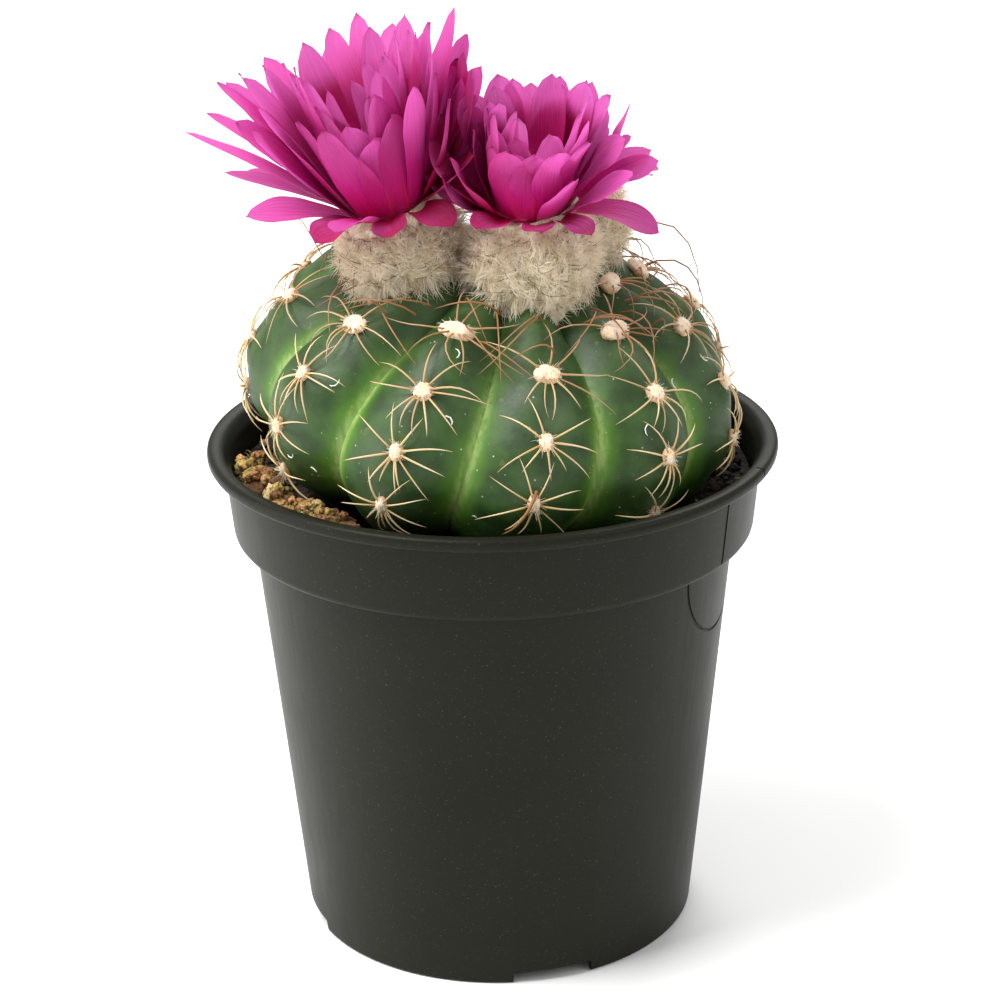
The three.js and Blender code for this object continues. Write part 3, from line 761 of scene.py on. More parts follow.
# %% [markdown]
# ## Where things grow
# The flowers and the cushions of spines have their places from the same rules as the solids. A
# flower's tube starts on the skin, bends from there to the way its bloom faces, and carries the
# bloom's own frame at its top.

# %% Flowers: their places
# A foot is an azimuth and a distance from the plant's axis, and a lean a tilt and an azimuth. Where
# something crowds a bloom, the azimuth of that side comes with the degrees that petals are pushed up.
# A whorl: how many petals, their length, width, opening, curl and level. A sepal: the azimuth of one
# single outer petal, its length, width, opening, curl and age.
FLOWERS = [
    {
        "name": "flower_left", "foot": (-78, 18.4), "lean": (23.5, -90), "rise": 9, "radius": 10.2,
        "spin": 4, "front_reach": 22, "crowding": [(0, 34), (80, 26), (-95, 16), (-50, 10)],
        "whorls": [
            (17, 30.5, 6.1, 26, 12, 3.4), (17, 31, 6.6, 38, 12, 2.6), (15, 27, 6.8, 54, 14, 1.8),
            (13, 27.5, 5.9, 18, 10, 3.8),
        ],
        "sepals": [
            (-46, 11, 7, 68, 20, 0.3), (42, 9.5, 7, 90, 26, 0.2), (2, 7, 6.5, 84, 20, 0.95),
            (-16, 16, 7.6, 26, -10, 0.1), (8, 17.5, 7.6, 18, -6, 0.4), (32, 20, 7.6, 22, -10, 0.2),
            (-72, 20, 6, 60, 8, 0.4), (-97, 24, 2.8, 51, 4, 1.0), (-110, 21, 2.8, 56, 4, 1.0),
            (-84, 33, 4.6, 41, 4, 0.6), (-92, 31, 4.6, 33, 6, 0.3), (-100, 33, 4.6, 26, 6, 0.5),
            (-140, 14, 6, 84, 20, 0.5), (150, 13, 7, 84, 20, 0.4), (66, 22, 7, 52, -44, 0.3),
            (-22, 15, 6, 60, 10, 0.5), (84, 25, 7, 60, -50, 0.2), (102, 26, 7, 56, -44, 0.5),
            (62, 15, 6.5, 72, -34, 0.95), (78, 18, 7, 76, -56, 0.1), (118, 24, 7, 58, -44, 0.3),
        ],
    },
    {
        "name": "flower_right", "foot": (26, 8.2), "lean": (10, -88), "rise": 10.5, "radius": 10.8,
        "spin": 26, "front_reach": 18, "crowding": [(-80, 40), (130, 22), (0, 30), (60, -8), (-40, 14)],
        "whorls": [
            (12, 20.5, 6.9, 24, 12, 3.4), (12, 19.5, 6.9, 38, 12, 2.6), (10, 18, 6.9, 62, 14, 1.8),
            (10, 20, 6.6, 14, 10, 3.8),
        ],
        "sepals": [
            (-36, 8.5, 7, 76, 14, 0.2), (72, 17, 7.4, 88, 14, 0.1), (92, 17.5, 6, 64, 6, 0.75),
            (36, 11, 5.6, 82, 12, 0.95), (8, 5.5, 6, 84, 16, 0.6), (140, 13, 7, 80, 20, 0.4),
            (-20, 16, 8, 30, -20, 0.1), (2, 15, 8, 28, -14, 0.3), (26, 17, 8, 32, -16, 0.5),
            (-140, 12, 7, 70, 16, 0.4), (-58, 17, 7, 54, -44, 0.3), (-78, 19, 7, 62, -54, 0.1),
            (-98, 20, 7, 60, -52, 0.5), (-118, 19, 7, 56, -46, 0.2), (-70, 14, 7, 80, -62, 0.9),
            (-90, 15, 7, 86, -70, 0.4),
        ],
    },
    {
        "name": "flower_back", "foot": (137, 17.2), "lean": (30, -150), "rise": 8, "radius": 9.2,
        "spin": 20, "front_reach": 13, "crowding": [(-10, 50), (90, 12)],
        "whorls": [
            (9, 15, 6.4, 14, 12, 3.4), (8, 14, 6.4, 28, 12, 2.6), (6, 11, 6.4, 50, 14, 1.8),
        ],
        "sepals": [
            (-30, 9, 6, 70, 14, 0.5), (60, 12, 6, 84, 16, 0.4), (120, 12, 6, 84, 16, 0.4),
            (180, 12, 6, 84, 16, 0.4), (-110, 12, 6, 84, 16, 0.4),
        ],
    },
]
TUBE_SUNK = 5


def flower_frame(flower):
    azimuth, distance = flower["foot"]
    angle = math.degrees(math.acos((distance / PLANT["radius"]) ** (PLANT["roundness"] / 2)))
    point, normal = on_body(azimuth, angle, 0, 0)
    tilt, way = flower["lean"]
    axis = heading(way) * math.sin(math.radians(tilt)) + UP * math.cos(math.radians(tilt))
    middle = point + normal * flower["rise"] * 0.5
    top = middle + axis * flower["rise"] * 0.5
    turn = UP.rotation_difference(axis).to_matrix().to_4x4()
    bloom = PLACE @ Matrix.Translation(top) @ turn
    return {**flower, "below": point - normal * TUBE_SUNK, "middle": middle, "top": top, "bloom": bloom}


frames = [flower_frame(flower) for flower in FLOWERS]


def clear_of_tubes(point):
    """How far a point lies outside the nearest flower tube; negative inside it."""
    gaps = []
    for flower in frames:
        core = flower["top"] - flower["below"]
        share = clamp((point - flower["below"]).dot(core) / core.length_squared)
        gaps.append((flower["below"] + core * share - point).length - flower["radius"])
    return min(gaps)


for flower in frames:
    print(flower["name"], "opens at", flower["bloom"].translation)

# %% Cushions of spines: their places
SOIL_LEVEL = 88


def areole_places():
    places = []
    for rib in range(PLANT["ribs"]):
        for step in range(-2, 4):
            angle = AREOLE["pitch"] * (step + is_odd(rib) / 2)
            if not AREOLE["lowest"] <= angle <= AREOLE["highest"] + 3:
                continue
            azimuth = crest_azimuth(rib, angle)
            point, normal = on_body(azimuth, angle)
            low = (PLACE @ point).z < SOIL_LEVEL + 1
            if clear_of_tubes(point) < AREOLE["crown_radius"] + 0.6 or low:
                continue
            crown = clamp((angle - 20) / 35)
            seed = rib * 17 + step * 5 + 40
            place = {"seed": seed, "azimuth": azimuth, "angle": angle, "crown": crown}
            places.append({**place, "point": point, "normal": normal})
    return places


areoles = areole_places()
print(len(areoles), "cushions")

# %% [markdown]
# ## Cushions
# An areole is a small pad of cream wool on the crest of a rib, and the spines grow out of it. The
# pad is a ball that is pressed flat and pulled into lumps, with a halo of short hairs.

# %% Cushions: wool finish and pads


def wool_finish(name, light, shade, dark):
    finish = Finish(name)
    tufts, fine = finish.cloud(1.4, 4), finish.cloud(0.22, 3)
    fibres = finish.cloud(0.4, 4, stretch=(1, 1, 0.2)).between(0.5, 0.64)
    # The two wool tones follow the same lumps as the bump: partly the wool's own patches of tone, partly
    # painted light on the raised tufts and painted shade in the hollows between them.
    wool = finish.mix(tufts.between(0.3, 0.7), shade, light)
    # The root mark darkens the wool. At the foot of each cushion this is partly tan wool and partly painted
    # shade where the cushion meets the skin.
    shares = [fibres * 0.45, fine.between(0.55, 0.7) * 0.3, finish.read("root") * 0.7]
    return finish.coat(
        Base_Color=finish.layered(wool, *((share, dark) for share in shares)), Roughness=0.92,
        Normal=finish.bump(fine + tufts, 0.18, 0.8), Sheen_Weight=0.35, Sheen_Roughness=0.5,
        Subsurface_Weight=0.15, Subsurface_Radius=(0.001, 0.0008, 0.0005), Subsurface_Scale=1.0,
    )


def basis(normal):
    """Two directions across a normal, the second as close to the crown as it can be."""
    across = UP.cross(normal).normalized()
    return across, normal.cross(across)


def cushion_move(place):
    radius = between(AREOLE["radius"], AREOLE["crown_radius"], place["crown"])
    across, upward = basis(place["normal"])
    wide = between(0.68, 1.3, place["crown"]) + spread(place["seed"] + 3, 0.07)
    tall = between(0.98, 0.78, place["crown"]) + spread(place["seed"] + 4, 0.07)

    def move(point):
        spot = point + Vector((place["seed"], 0, 0))
        lumps = 1 + 0.16 * field.noise(spot * 1.4) + 0.05 * field.noise(spot * 5)
        body = point * lumps * radius
        local = place["point"] + across * body.x * wide + upward * body.y * tall
        return PLACE @ (local + place["normal"] * (body.z * 0.62 + 0.1))

    return move


def make_cushions():
    master = start(bpy.ops.mesh.primitive_ico_sphere_add, "cushion", subdivisions=4, radius=MM)
    twins = [copy_of(master, cushion_move(place)) for place in areoles]
    for twin, place in zip(twins, areoles):
        spots = [PLACE.inverted() @ (v.co / MM) - place["point"] for v in twin.data.vertices]
        # Darker towards the foot of each cushion: partly tan wool, partly painted shade where it meets the
        # skin.
        mark(twin.data, "root", [1 - clamp((spot.dot(place["normal"]) + 0.1) / 0.7) for spot in spots])
    drop(master)
    wool = wool_finish("cream_wool", "fff1dc", "f3d9b0", "c28a4e")
    return finished(smooth(joined("cushions", twins), 70), wool, "wool")


make_cushions()

# %% [markdown]
# ## Spines
# Each cushion holds about ten spines, which lie over the ribs like the legs of a spider: a few
# reach up and to the sides, and a bunch hangs down. They are cream with darker roots, and near the
# crown they are longer and browner and some hook back. The master is a thin circle that is drawn
# out to a point; each copy is bent along a walk over the skin.

# %% Spines: finish and master
SPINE = {"length": 8.6, "crown_length": 12.5, "radius": 0.19, "sides": 5, "lift": 0.9, "missing": 0.12}
FAN = [-20, 24, 62, 95, 124, 148, 170, -167, -142, -108, -64]  # the ways that spines point, 0 is up


def cream_horn():
    finish = Finish("cream_horn")
    pale, middle, root = "f7e3ba", "e0c084", "9c6630"
    horn = finish.ramp(finish.read("way"), (0.0, root), (0.2, middle), (0.75, pale), (1.0, middle))
    layers = [(finish.read("age") * 0.92, "804c22"), (finish.cloud(0.5, 3) * 0.3, root)]
    return finish.coat(
        Base_Color=finish.layered(horn, *layers), Roughness=0.42, Subsurface_Weight=0.1,
        Subsurface_Radius=(0.001, 0.0007, 0.0004), Subsurface_Scale=1.0,
    )


def spine_master(length=10.0):
    """A thin circle drawn out to a point, and its length."""
    shape = [(0, 1), (0.12, 0.98), (0.28, 0.92), (0.44, 0.84), (0.6, 0.72), (0.76, 0.56), (0.9, 0.36)]
    rings = [(SPINE["radius"] * thick, length * share) for share, thick in [*shape, (1, 0.1)]]
    master = grown("spine", SPINE["sides"], rings)
    mark_way(master, length)
    return master, length


# %% Spines: their walks over the skin


def walk(azimuth, angle, direction, distance, lift):
    """A point over the ribs, reached by going some way in a direction, 0 towards the crown."""
    across = PLANT["radius"] * math.cos(math.radians(angle))
    steep = math.hypot(
        PLANT["radius"] * math.sin(math.radians(angle)), PLANT["half_height"] * math.cos(math.radians(angle)),
    )
    turn = math.degrees(distance * math.sin(direction) / across)
    climb = math.degrees(distance * math.cos(direction) / steep)
    return on_body(azimuth + turn, min(angle + climb, 89), lift, 0.12)[0]


def spine_path(place, direction, length, lift, curl):
    """Out of the cushion, up over the skin, and down again towards its tip."""
    def path(share):
        height = 0.55 + lift * math.sin(math.pi * clamp(share * 0.85)) - 0.35 * share * share
        turned = direction + curl * share * share
        return PLACE @ walk(place["azimuth"], place["angle"], turned, 0.5 + length * share, height)

    return path


def make_spines():
    master, length = spine_master()
    twins = []
    for place in areoles:
        for i, way in enumerate(FAN):
            seed = place["seed"] * 13 + i * 7
            if draw(seed + 5) > 1 - SPINE["missing"]:
                continue
            direction = math.radians(way + spread(seed, 9))
            full = between(SPINE["length"], SPINE["crown_length"], place["crown"])
            hanging = 0.72 if abs(way) > 140 else 0.86 if abs(way) < 50 else 1
            reach = full * hanging * (1 + spread(seed + 1, 0.14))
            lift = SPINE["lift"] * (1 + spread(seed + 2, 0.4)) + 0.7 * place["crown"]
            curl = spread(seed + 4, 0.1 + 0.4 * place["crown"]) + 0.12 * math.sin(direction)
            path = spine_path(place, direction, reach, lift, curl)
            tip = PLACE.inverted() @ path(1)
            if clear_of_tubes(tip) < 0.4 or path(1).z < SOIL_LEVEL + 0.8:
                continue
            age = clamp(0.12 + 0.7 * place["crown"] + spread(seed + 6, 0.25))
            side = PLACE.to_3x3() @ place["normal"]
            twins.append(copy_of(master, along(path, length, 1 + spread(seed + 8, 0.18), side), age=age))
    drop(master)
    return finished(smooth(joined("spines", twins), 80), horn, "wool")


horn = cream_horn()
make_spines()

# %% Spines: long strays, a dry twig and lint
TANGLE = 34  # brown spines that lie across each other round the crown
STRAYS = [  # from azimuth and height angle, to azimuth and height angle, rise, thickness
    ((128, 60), (109, 30), 9, 1.0), ((-100, 44), (-113, 36), 9, 0.6), ((14, 62), (-8, 42), 3.6, 1.1),
    ((-69, 58), (-100, 46), 5, 0.8), ((-38, 56), (-66, 44), 3, 1.0), ((-4, 64), (-34, 60), 2.4, 1.1),
    ((36, 60), (60, 46), 3.4, 1.0), ((112, 54), (96, 34), 5, 1.0), ((-23, 66), (-6, 52), 3, 0.9),
    ((44, 62), (20, 50), 3, 0.9), ((-75, 52), (-54, 36), 2.6, 1.0), ((70, 60), (84, 40), 4.5, 1.0),
    ((9, 5), (3, -14), 1.8, 1.8),
]
LINT = [
    (-17, 47.5), (-46.5, 26), (-13.5, 25.5), (-53, -8.5), (-47.5, -16), (35.5, 54), (75, 33.5), (62, 33),
    (39, 22), (-4, -14),
]


def over_body(first, last, rise):
    """A path over the skin between two places, each an azimuth and a height angle, high in the middle."""
    def path(share):
        azimuth, angle = (between(a, b, share) for a, b in zip(first, last))
        height = 0.5 + rise * math.sin(math.pi * clamp(share, 0, 1) ** 0.8)
        return PLACE @ on_body(azimuth, angle, height, 0.12)[0]

    return path


def make_strays():
    master, length = spine_master()
    twins, tangle = [], []
    for i in range(TANGLE):
        azimuth, swing = 360 / TANGLE * i + spread(i, 6), spread(i + 50, 30)
        first = (azimuth, 57 + spread(i + 1, 7))
        tangle.append((first, (azimuth + swing, 44 + spread(i + 2, 6)), 1.6 + 2.6 * draw(i + 3), 0.9))
    for first, last, rise, thickness in STRAYS + tangle:
        twins.append(copy_of(master, along(over_body(first, last, rise), length, thickness), age=0.95))
    drop(master)
    return finished(smooth(joined("stray_spines", twins), 80), horn, "wool")


def make_lint():
    """Short white curls of lint that stick to the skin."""
    length = 2.6
    shape = [(0.4, 0), (1, 0.2), (1, 0.5), (1, 0.8), (0.4, 1)]
    master = grown("curl", 4, [(thick, share * length) for thick, share in shape])
    twins = []
    for i, (azimuth, angle) in enumerate(LINT):
        turn = 2 * math.pi * draw(i + 3)
        centre, normal = on_body(azimuth, angle, 0.16)
        across, upward = basis(normal)

        def path(share, centre=centre, across=across, upward=upward, turn=turn):
            angle_here = turn + 2.4 * share
            return PLACE @ (centre + (across * math.cos(angle_here) + upward * math.sin(angle_here)) * 1.1)

        twins.append(copy_of(master, along(path, length, 0.13, PLACE.to_3x3() @ normal)))
    drop(master)
    white = Finish("white_lint").coat(Base_Color="e6eadf", Roughness=0.5)
    return finished(joined("lint", twins), white, "body")


make_strays()
make_lint()

# %% [markdown]
# ## Woolly tubes
# A flower of this kind stands on a short tube that is wrapped in wool, with brown bristles between
# the tufts. The tube itself is a cylinder that is bent like its solid and pulled into lumps. Hairs
# with three sides cover it in tufts. A lock of hairs side by side is the master here, so that each
# tuft is one copy, and every hair of a copy is bent along a path of its own.

# %% Tubes: the bent tube
TUBE = {"rows": 44, "sides": 72, "narrow": 0.86}
COLLAR = {"top": 1.3, "radius": 8.1}  # the wool goes on past the tube's top and hugs the cup
MOUTH = [(6.0, 2.7), (4.7, 0.5), (4.6, -2.2)]  # down again inside the cup's wall, as (radius, level)


def tube_point(flower, share):
    """A point on the tube's middle line, a curve through its foot, its bend and its top."""
    first = flower["below"].lerp(flower["middle"], share)
    return first.lerp(flower["middle"].lerp(flower["top"], share), share)


def tube_radius(flower, share):
    narrow = TUBE["narrow"]
    if share > 1:
        return between(flower["radius"] * narrow, COLLAR["radius"], (share - 1) / (COLLAR["top"] - 1))
    return flower["radius"] * (narrow + (1 - narrow) * math.sin(math.pi * min(1, share * 1.1)))


def on_tube(flower, share, turn, lift=0.0):
    """A point on the tube's wool and the way out of it, in the pot's frame."""
    here = tube_point(flower, share)
    ahead = (tube_point(flower, share + 0.02) - tube_point(flower, share - 0.02)).normalized()
    frame_turn = UP.rotation_difference(ahead).to_matrix()
    out = frame_turn @ Vector((math.cos(turn), math.sin(turn), 0))
    seed = Vector((flower["spin"] * 10, 0, 0))
    spot = here + out * flower["radius"]
    tufts = field.noise(spot * 0.33 + seed) * 0.9 + field.noise(spot * 0.8 + seed) * 0.55
    radius = tube_radius(flower, share) + tufts + lift
    turned = PLACE.to_3x3()
    return PLACE @ (here + out * radius), turned @ out, turned @ ahead


def make_tube(flower, wool):
    rows = TUBE["rows"]
    rings = [(1, row) for row in range(rows + 1 + len(MOUTH))]
    tube = grown(flower["name"] + "_wool", TUBE["sides"], rings)

    def move(point):
        row, turn = round(point.z), math.atan2(point.y, point.x)
        if row <= rows:
            return on_tube(flower, COLLAR["top"] * row / rows, turn)[0]
        radius, level = MOUTH[row - rows - 1]
        return flower["bloom"] @ Vector((math.cos(turn) * radius, math.sin(turn) * radius, level))

    reshaped(tube, move)
    mark(tube.data, "root", [0.15] * len(tube.data.vertices))
    return finished(smooth(tube, 80), wool, "wool", flower["name"] + "_tube")


tube_wool = wool_finish("tube_wool", "f6ecd4", "c9bc94", "866c4c")
for flower in frames:
    make_tube(flower, tube_wool)

# %% Tubes: hair finish


def hair_finish(name, light, shade):
    finish = Finish(name)
    tone = finish.mix(finish.read("age"), light, shade)
    rooted = finish.mix((1 - finish.read("way")) * 0.2, tone, shade)
    return finish.sheet(0.45, finish.surface(Base_Color=rooted, Roughness=0.65, Sheen_Weight=0.2), light)


# %% Tubes: locks of hair
APART = 10  # mm between the hairs of the master lock


def lock_master(count, length=3.0):
    """Some upright hairs side by side, one mesh, so that a whole tuft is one copy."""
    shape = [(1, 0), (0.95, 0.3), (0.75, 0.6), (0.45, 0.85), (0.1, 1)]
    hair = grown("hair", 3, [(thick, share * length) for thick, share in shape])
    mark_way(hair, length)
    hairs = [copy_of(hair, lambda p, i=i: p + Vector((APART * i, 0, 0))) for i in range(count)]
    drop(hair)
    return joined("lock", hairs), length


def lock_copy(master, length, paths, radius, tones):
    """A copy of a lock with each hair bent along a path of its own."""
    moves = [along(path, length, radius, (path(1) - path(0)).orthogonal()) for path in paths]

    def move(point):
        i = round(point.x / APART)
        return moves[i](point - Vector((APART * i, 0, 0)))

    twin = copy_of(master, move)
    mark(twin.data, "age", [tones[round(v.co.x / MM / APART)] for v in master.data.vertices])
    return twin


def make_hairs(name, locks, radius, skin, slot):
    """A piece made of locks. Each lock is the paths of its hairs and how dark each hair is."""
    master, length = lock_master(len(locks[0][0]))
    twins = [lock_copy(master, length, paths, radius, tones) for paths, tones in locks]
    drop(master)
    return finished(joined(name, twins), skin, slot)


# %% Tubes: tufts of wool
TUFTS = {
    "count": 312, "hairs": 24, "root": 0.9, "tip": 1.7, "height": 2.0, "radius": 0.055,
    "lowest": 0.1, "highest": 1.12, "dark": 0.12,
}
STEPS = (0.7549, 0.5698)  # from tuft to tuft, along and round the tube: they spread evenly, with no rows


def tuft_hairs(flower, tuft):
    """Paths of the hairs of one tuft. They start close together and spray out."""
    seed = tuft * 9.7 + flower["spin"]
    share = between(TUFTS["lowest"], TUFTS["highest"], (tuft * STEPS[0]) % 1)
    turn = 2 * math.pi * ((tuft * STEPS[1]) % 1) + spread(seed, 0.1)
    centre, out, ahead = on_tube(flower, share, turn)
    swing = 2 * math.pi * draw(seed + 1)
    hanging = max(clamp((0.5 - share) / 0.2), clamp((share - 0.9) / 0.1))
    flat = ahead * (math.cos(swing) * 0.9 + 0.1 - 1.2 * hanging) + ahead.cross(out) * math.sin(swing)
    tip = centre + out * TUFTS["height"] * (0.35 + 0.6 * draw(seed + 2)) + flat * 2.0
    paths = []
    for i in range(TUFTS["hairs"]):
        own = seed + i * 3.7
        angle, far = 2 * math.pi * draw(own), TUFTS["root"] * math.sqrt(draw(own + 0.5))
        start_share = clamp(share + far * math.cos(angle) / 14, 0.05, TUFTS["highest"])
        root, root_out, _ = on_tube(flower, start_share, turn + far * math.sin(angle) / flower["radius"])
        stray = Vector([spread(own + k, TUFTS["tip"]) for k in (1, 2, 3)])
        paths.append(bow(root - root_out * 0.3, root + root_out * 1.1 + stray * 0.3, tip + stray))
    return paths


def make_tufts(flower, skin):
    locks = []
    for tuft in range(TUFTS["count"]):
        dark = 0.6 if draw(tuft * 5.3 + flower["spin"]) > 1 - TUFTS["dark"] else 0.0
        tones = [clamp(0.4 * draw(tuft + i * 1.7) + dark) for i in range(TUFTS["hairs"])]
        locks.append((tuft_hairs(flower, tuft), tones))
    make_hairs(flower["name"] + "_tufts", locks, TUFTS["radius"], skin, "wool")


pale_hair = hair_finish("pale_hair", "fffaee", "dccba2")
for flower in frames:
    make_tufts(flower, pale_hair)

# %% Tubes: brown bristles between the tufts
BRISTLES = {"count": 210, "length": 3.8, "radius": 0.065}


def bristle_path(flower, seed):
    share, turn = between(0.3, 1.1, draw(seed)), 2 * math.pi * draw(seed + 0.5)
    point, out, ahead = on_tube(flower, share, turn)
    swing = spread(seed + 0.9, 1.9)
    flat = ahead * math.cos(swing) + ahead.cross(out) * math.sin(swing)
    reach = BRISTLES["length"] * (0.5 + 0.9 * draw(seed + 1.7) ** 2)
    middle = point + (out * 0.9 + flat * 0.5) * reach * 0.5
    return bow(point, middle, middle + (flat + out * spread(seed + 2, 0.5)) * reach * 0.5)


def make_bristles(flower, skin):
    each = range(BRISTLES["count"])
    lock = [bristle_path(flower, 500 + i * 3.7 + flower["spin"]) for i in each], [draw(i * 2.9) for i in each]
    make_hairs(flower["name"] + "_bristles", [lock], BRISTLES["radius"], skin, "wool")


brown_hair = hair_finish("brown_hair", "9a6440", "3a2114")
for flower in frames:
    make_bristles(flower, brown_hair)

# %% Cushions: fuzz
FUZZ = {"count": 64, "length": 0.9, "radius": 0.042}


def fuzz_paths(place):
    """Short hairs that stand out of a cushion and soften its edge."""
    move = cushion_move(place)
    paths = []
    for i in range(FUZZ["count"]):
        seed = place["seed"] * 7 + i * 1.9
        rise = between(0.1, 1.0, draw(seed + 0.6))
        out = heading(360 * draw(seed)) * math.sqrt(1 - rise * rise) + UP * rise
        root = move(out * 0.93)
        way = (move(out * 1.3) - root).normalized() + Vector([spread(seed + k, 0.55) for k in (1, 2, 3)])
        paths.append(arc(root, way, UP * -0.2, FUZZ["length"] * (0.6 + 0.7 * draw(seed + 4))))
    return paths


tones = [0.7 * draw(i + 5) for i in range(FUZZ["count"])]
fuzz = [(fuzz_paths(place), tones) for place in areoles]
make_hairs("cushion_fuzz", fuzz, FUZZ["radius"], pale_hair, "wool")

# %% [markdown]
# ## Petals
# A petal is a thin blade: narrow at its root, widest beyond the middle, and drawn to a point. It is
# hollowed along its length like a shallow boat. A grid is the natural start, because its columns
# become the veins' direction. Each copy is bent outwards more and more towards its tip. The tissue is
# so thin that a single sheet of faces stands for it, and light shines through that.
# A bloom has its petals in whorls. The inner ones stand up, the outer ones lie open, and where
# blooms meet they press each other upright. Single outer petals, the sepals, fill the outline: long
# ones on the free side, short crimson ones that hang over the wool, and ones pressed between blooms,
# whose crimson is painted shade.

# %% Petals: master
PETAL = {"columns": 8, "rows": 18, "root_width": 0.46, "widest": 0.62, "point": 0.56}
CUP = {"bottom": -2.7, "foot": 6.2, "rim": 8.3, "rim_height": 4.2, "root_depth": 0.9, "inset": 1.2}
INNER = [1, 0.5, 0, 1.4]  # how far inside the bloom each of its whorls stands
UPRIGHT = 45  # degrees of crowding that press a petal quite upright
# On short sepals the crimson is their own colour. Pressed sepals get the same crimson as painted shade.
SHORT, PRESSED = 12, -30  # a sepal shorter than this, or curled in more, is crimson


def petal_outline(share):
    """Half the width of a petal along its length, as a share of the full half width."""
    widest, root = PETAL["widest"], PETAL["root_width"]
    share = clamp(share)
    if share <= widest:
        return root + (1 - root) * math.sin(math.pi / 2 * share / widest) ** 0.85
    return max(0.0, math.cos(math.pi / 2 * (share - widest) / (1 - widest))) ** PETAL["point"]


def petal_master():
    """A petal one wide and one long, in millimetres: x across from -1 to 1, y along from 0 to 1."""
    add = bpy.ops.mesh.primitive_grid_add
    size = {"x_subdivisions": PETAL["columns"], "y_subdivisions": PETAL["rows"], "size": 2 * MM}
    petal = start(add, "petal", **size)
    for vertex in petal.data.vertices:
        vertex.co.y = (vertex.co.y / MM + 1) / 2 * MM
    return petal


def whorl_petal(flower, number, i):
    """One petal of a whorl: neighbours overlap, and where blooms meet they stand upright."""
    count, length, width, opening, curl, level = flower["whorls"][number]
    seed = flower["spin"] * 31 + number * 101 + i * 11
    gap = 360 / count
    azimuth = flower["spin"] + number * gap * 0.5 + i * gap + spread(seed, gap * 0.16)
    facing = ((turn, math.radians(azimuth - way)) for way, turn in flower["crowding"])
    crowded = sum(turn * clamp(math.cos(angle)) ** 1.5 for turn, angle in facing)
    pressed = min(1, crowded / UPRIGHT)
    shingle = 3 if i % 2 else -3
    lean_out = max(4, opening * (1 - 0.6 * pressed)) + shingle + spread(seed + 1, 2)
    toward = clamp(math.cos(math.radians(azimuth))) ** 6
    front = flower["front_reach"] * (1 - 0.16 * INNER[number]) - level
    reach = between(length, front, toward) * (1 + spread(seed + 2, 0.09))
    return {
        "azimuth": azimuth, "length": reach, "width": width * (1 + spread(seed + 9, 0.13)), "lean": lean_out,
        "curl": curl - 36 * pressed, "level": level, "seed": seed, "age": 0.85 * draw(seed + 10),
        "inner": INNER[number],
    }


def sepal(flower, i):
    """One of the single outer petals."""
    azimuth, length, width, lean_out, curl, age = flower["sepals"][i]
    # Short sepals are crimson. Pressed ones take the same crimson as painted shade.
    crimson_and_shade = curl < PRESSED or length < SHORT
    return {
        "azimuth": azimuth, "length": length, "width": width, "lean": lean_out, "curl": curl,
        "level": 2.9, "seed": flower["spin"] * 7 + i * 13, "age": age, "inner": -1 if crimson_and_shade else 0,
    }


def petal_move(flower, petal):
    azimuth, reach, width, seed = (petal[name] for name in ("azimuth", "length", "width", "seed"))
    outward, sideways = heading(azimuth), UP.cross(heading(azimuth))
    high = (petal["level"] - 0.6) / (CUP["rim_height"] - 0.6)
    depth = CUP["root_depth"] + 0.6 * max(0, petal["inner"])
    root = outward * (between(CUP["foot"], CUP["rim"], high) - depth) + UP * petal["level"]
    start_angle, turn_angle = math.radians(petal["lean"]), math.radians(petal["curl"])
    hollow = 0.17 + spread(seed + 5, 0.06)
    twist = spread(seed + 6, 0.3) + 0.34 * math.sin(math.radians(azimuth))
    sway = spread(seed + 7, 0.08) * reach
    tip_curl = spread(seed + 8, 1.2)

    def move(point):
        share, side = point.y, point.x
        angle = start_angle + turn_angle * share
        out = (math.cos(start_angle) - math.cos(angle)) / turn_angle
        rise = (math.sin(angle) - math.sin(start_angle)) / turn_angle
        centre = root + (outward * out + UP * rise) * reach
        normal = UP * math.sin(angle) - outward * math.cos(angle)
        ragged = 1 + 0.09 * field.noise(Vector((share * 7, seed, side * 0.7)))
        half = width / 2 * petal_outline(share) * ragged
        wave = 0.1 * math.sin(share * 9 + seed) * side * abs(side) * share
        boat = 0.5 + 0.5 * math.sin(math.pi * min(1, share * 1.05 + 0.1))
        cupped = hollow * width * side * side * petal_outline(share) * boat
        height = cupped + wave * width * 0.5 + twist * side * half * share
        middle_vein = -0.14 * math.exp(-(side / 0.16) ** 2) * (1 - share)
        bent = centre + sideways * (side * half + sway * share * share)
        lifted = bent + normal * (height + middle_vein + tip_curl * share ** 4)
        return flower["bloom"] @ (lifted + normal * point.z)

    return move


# %% Petals: finish


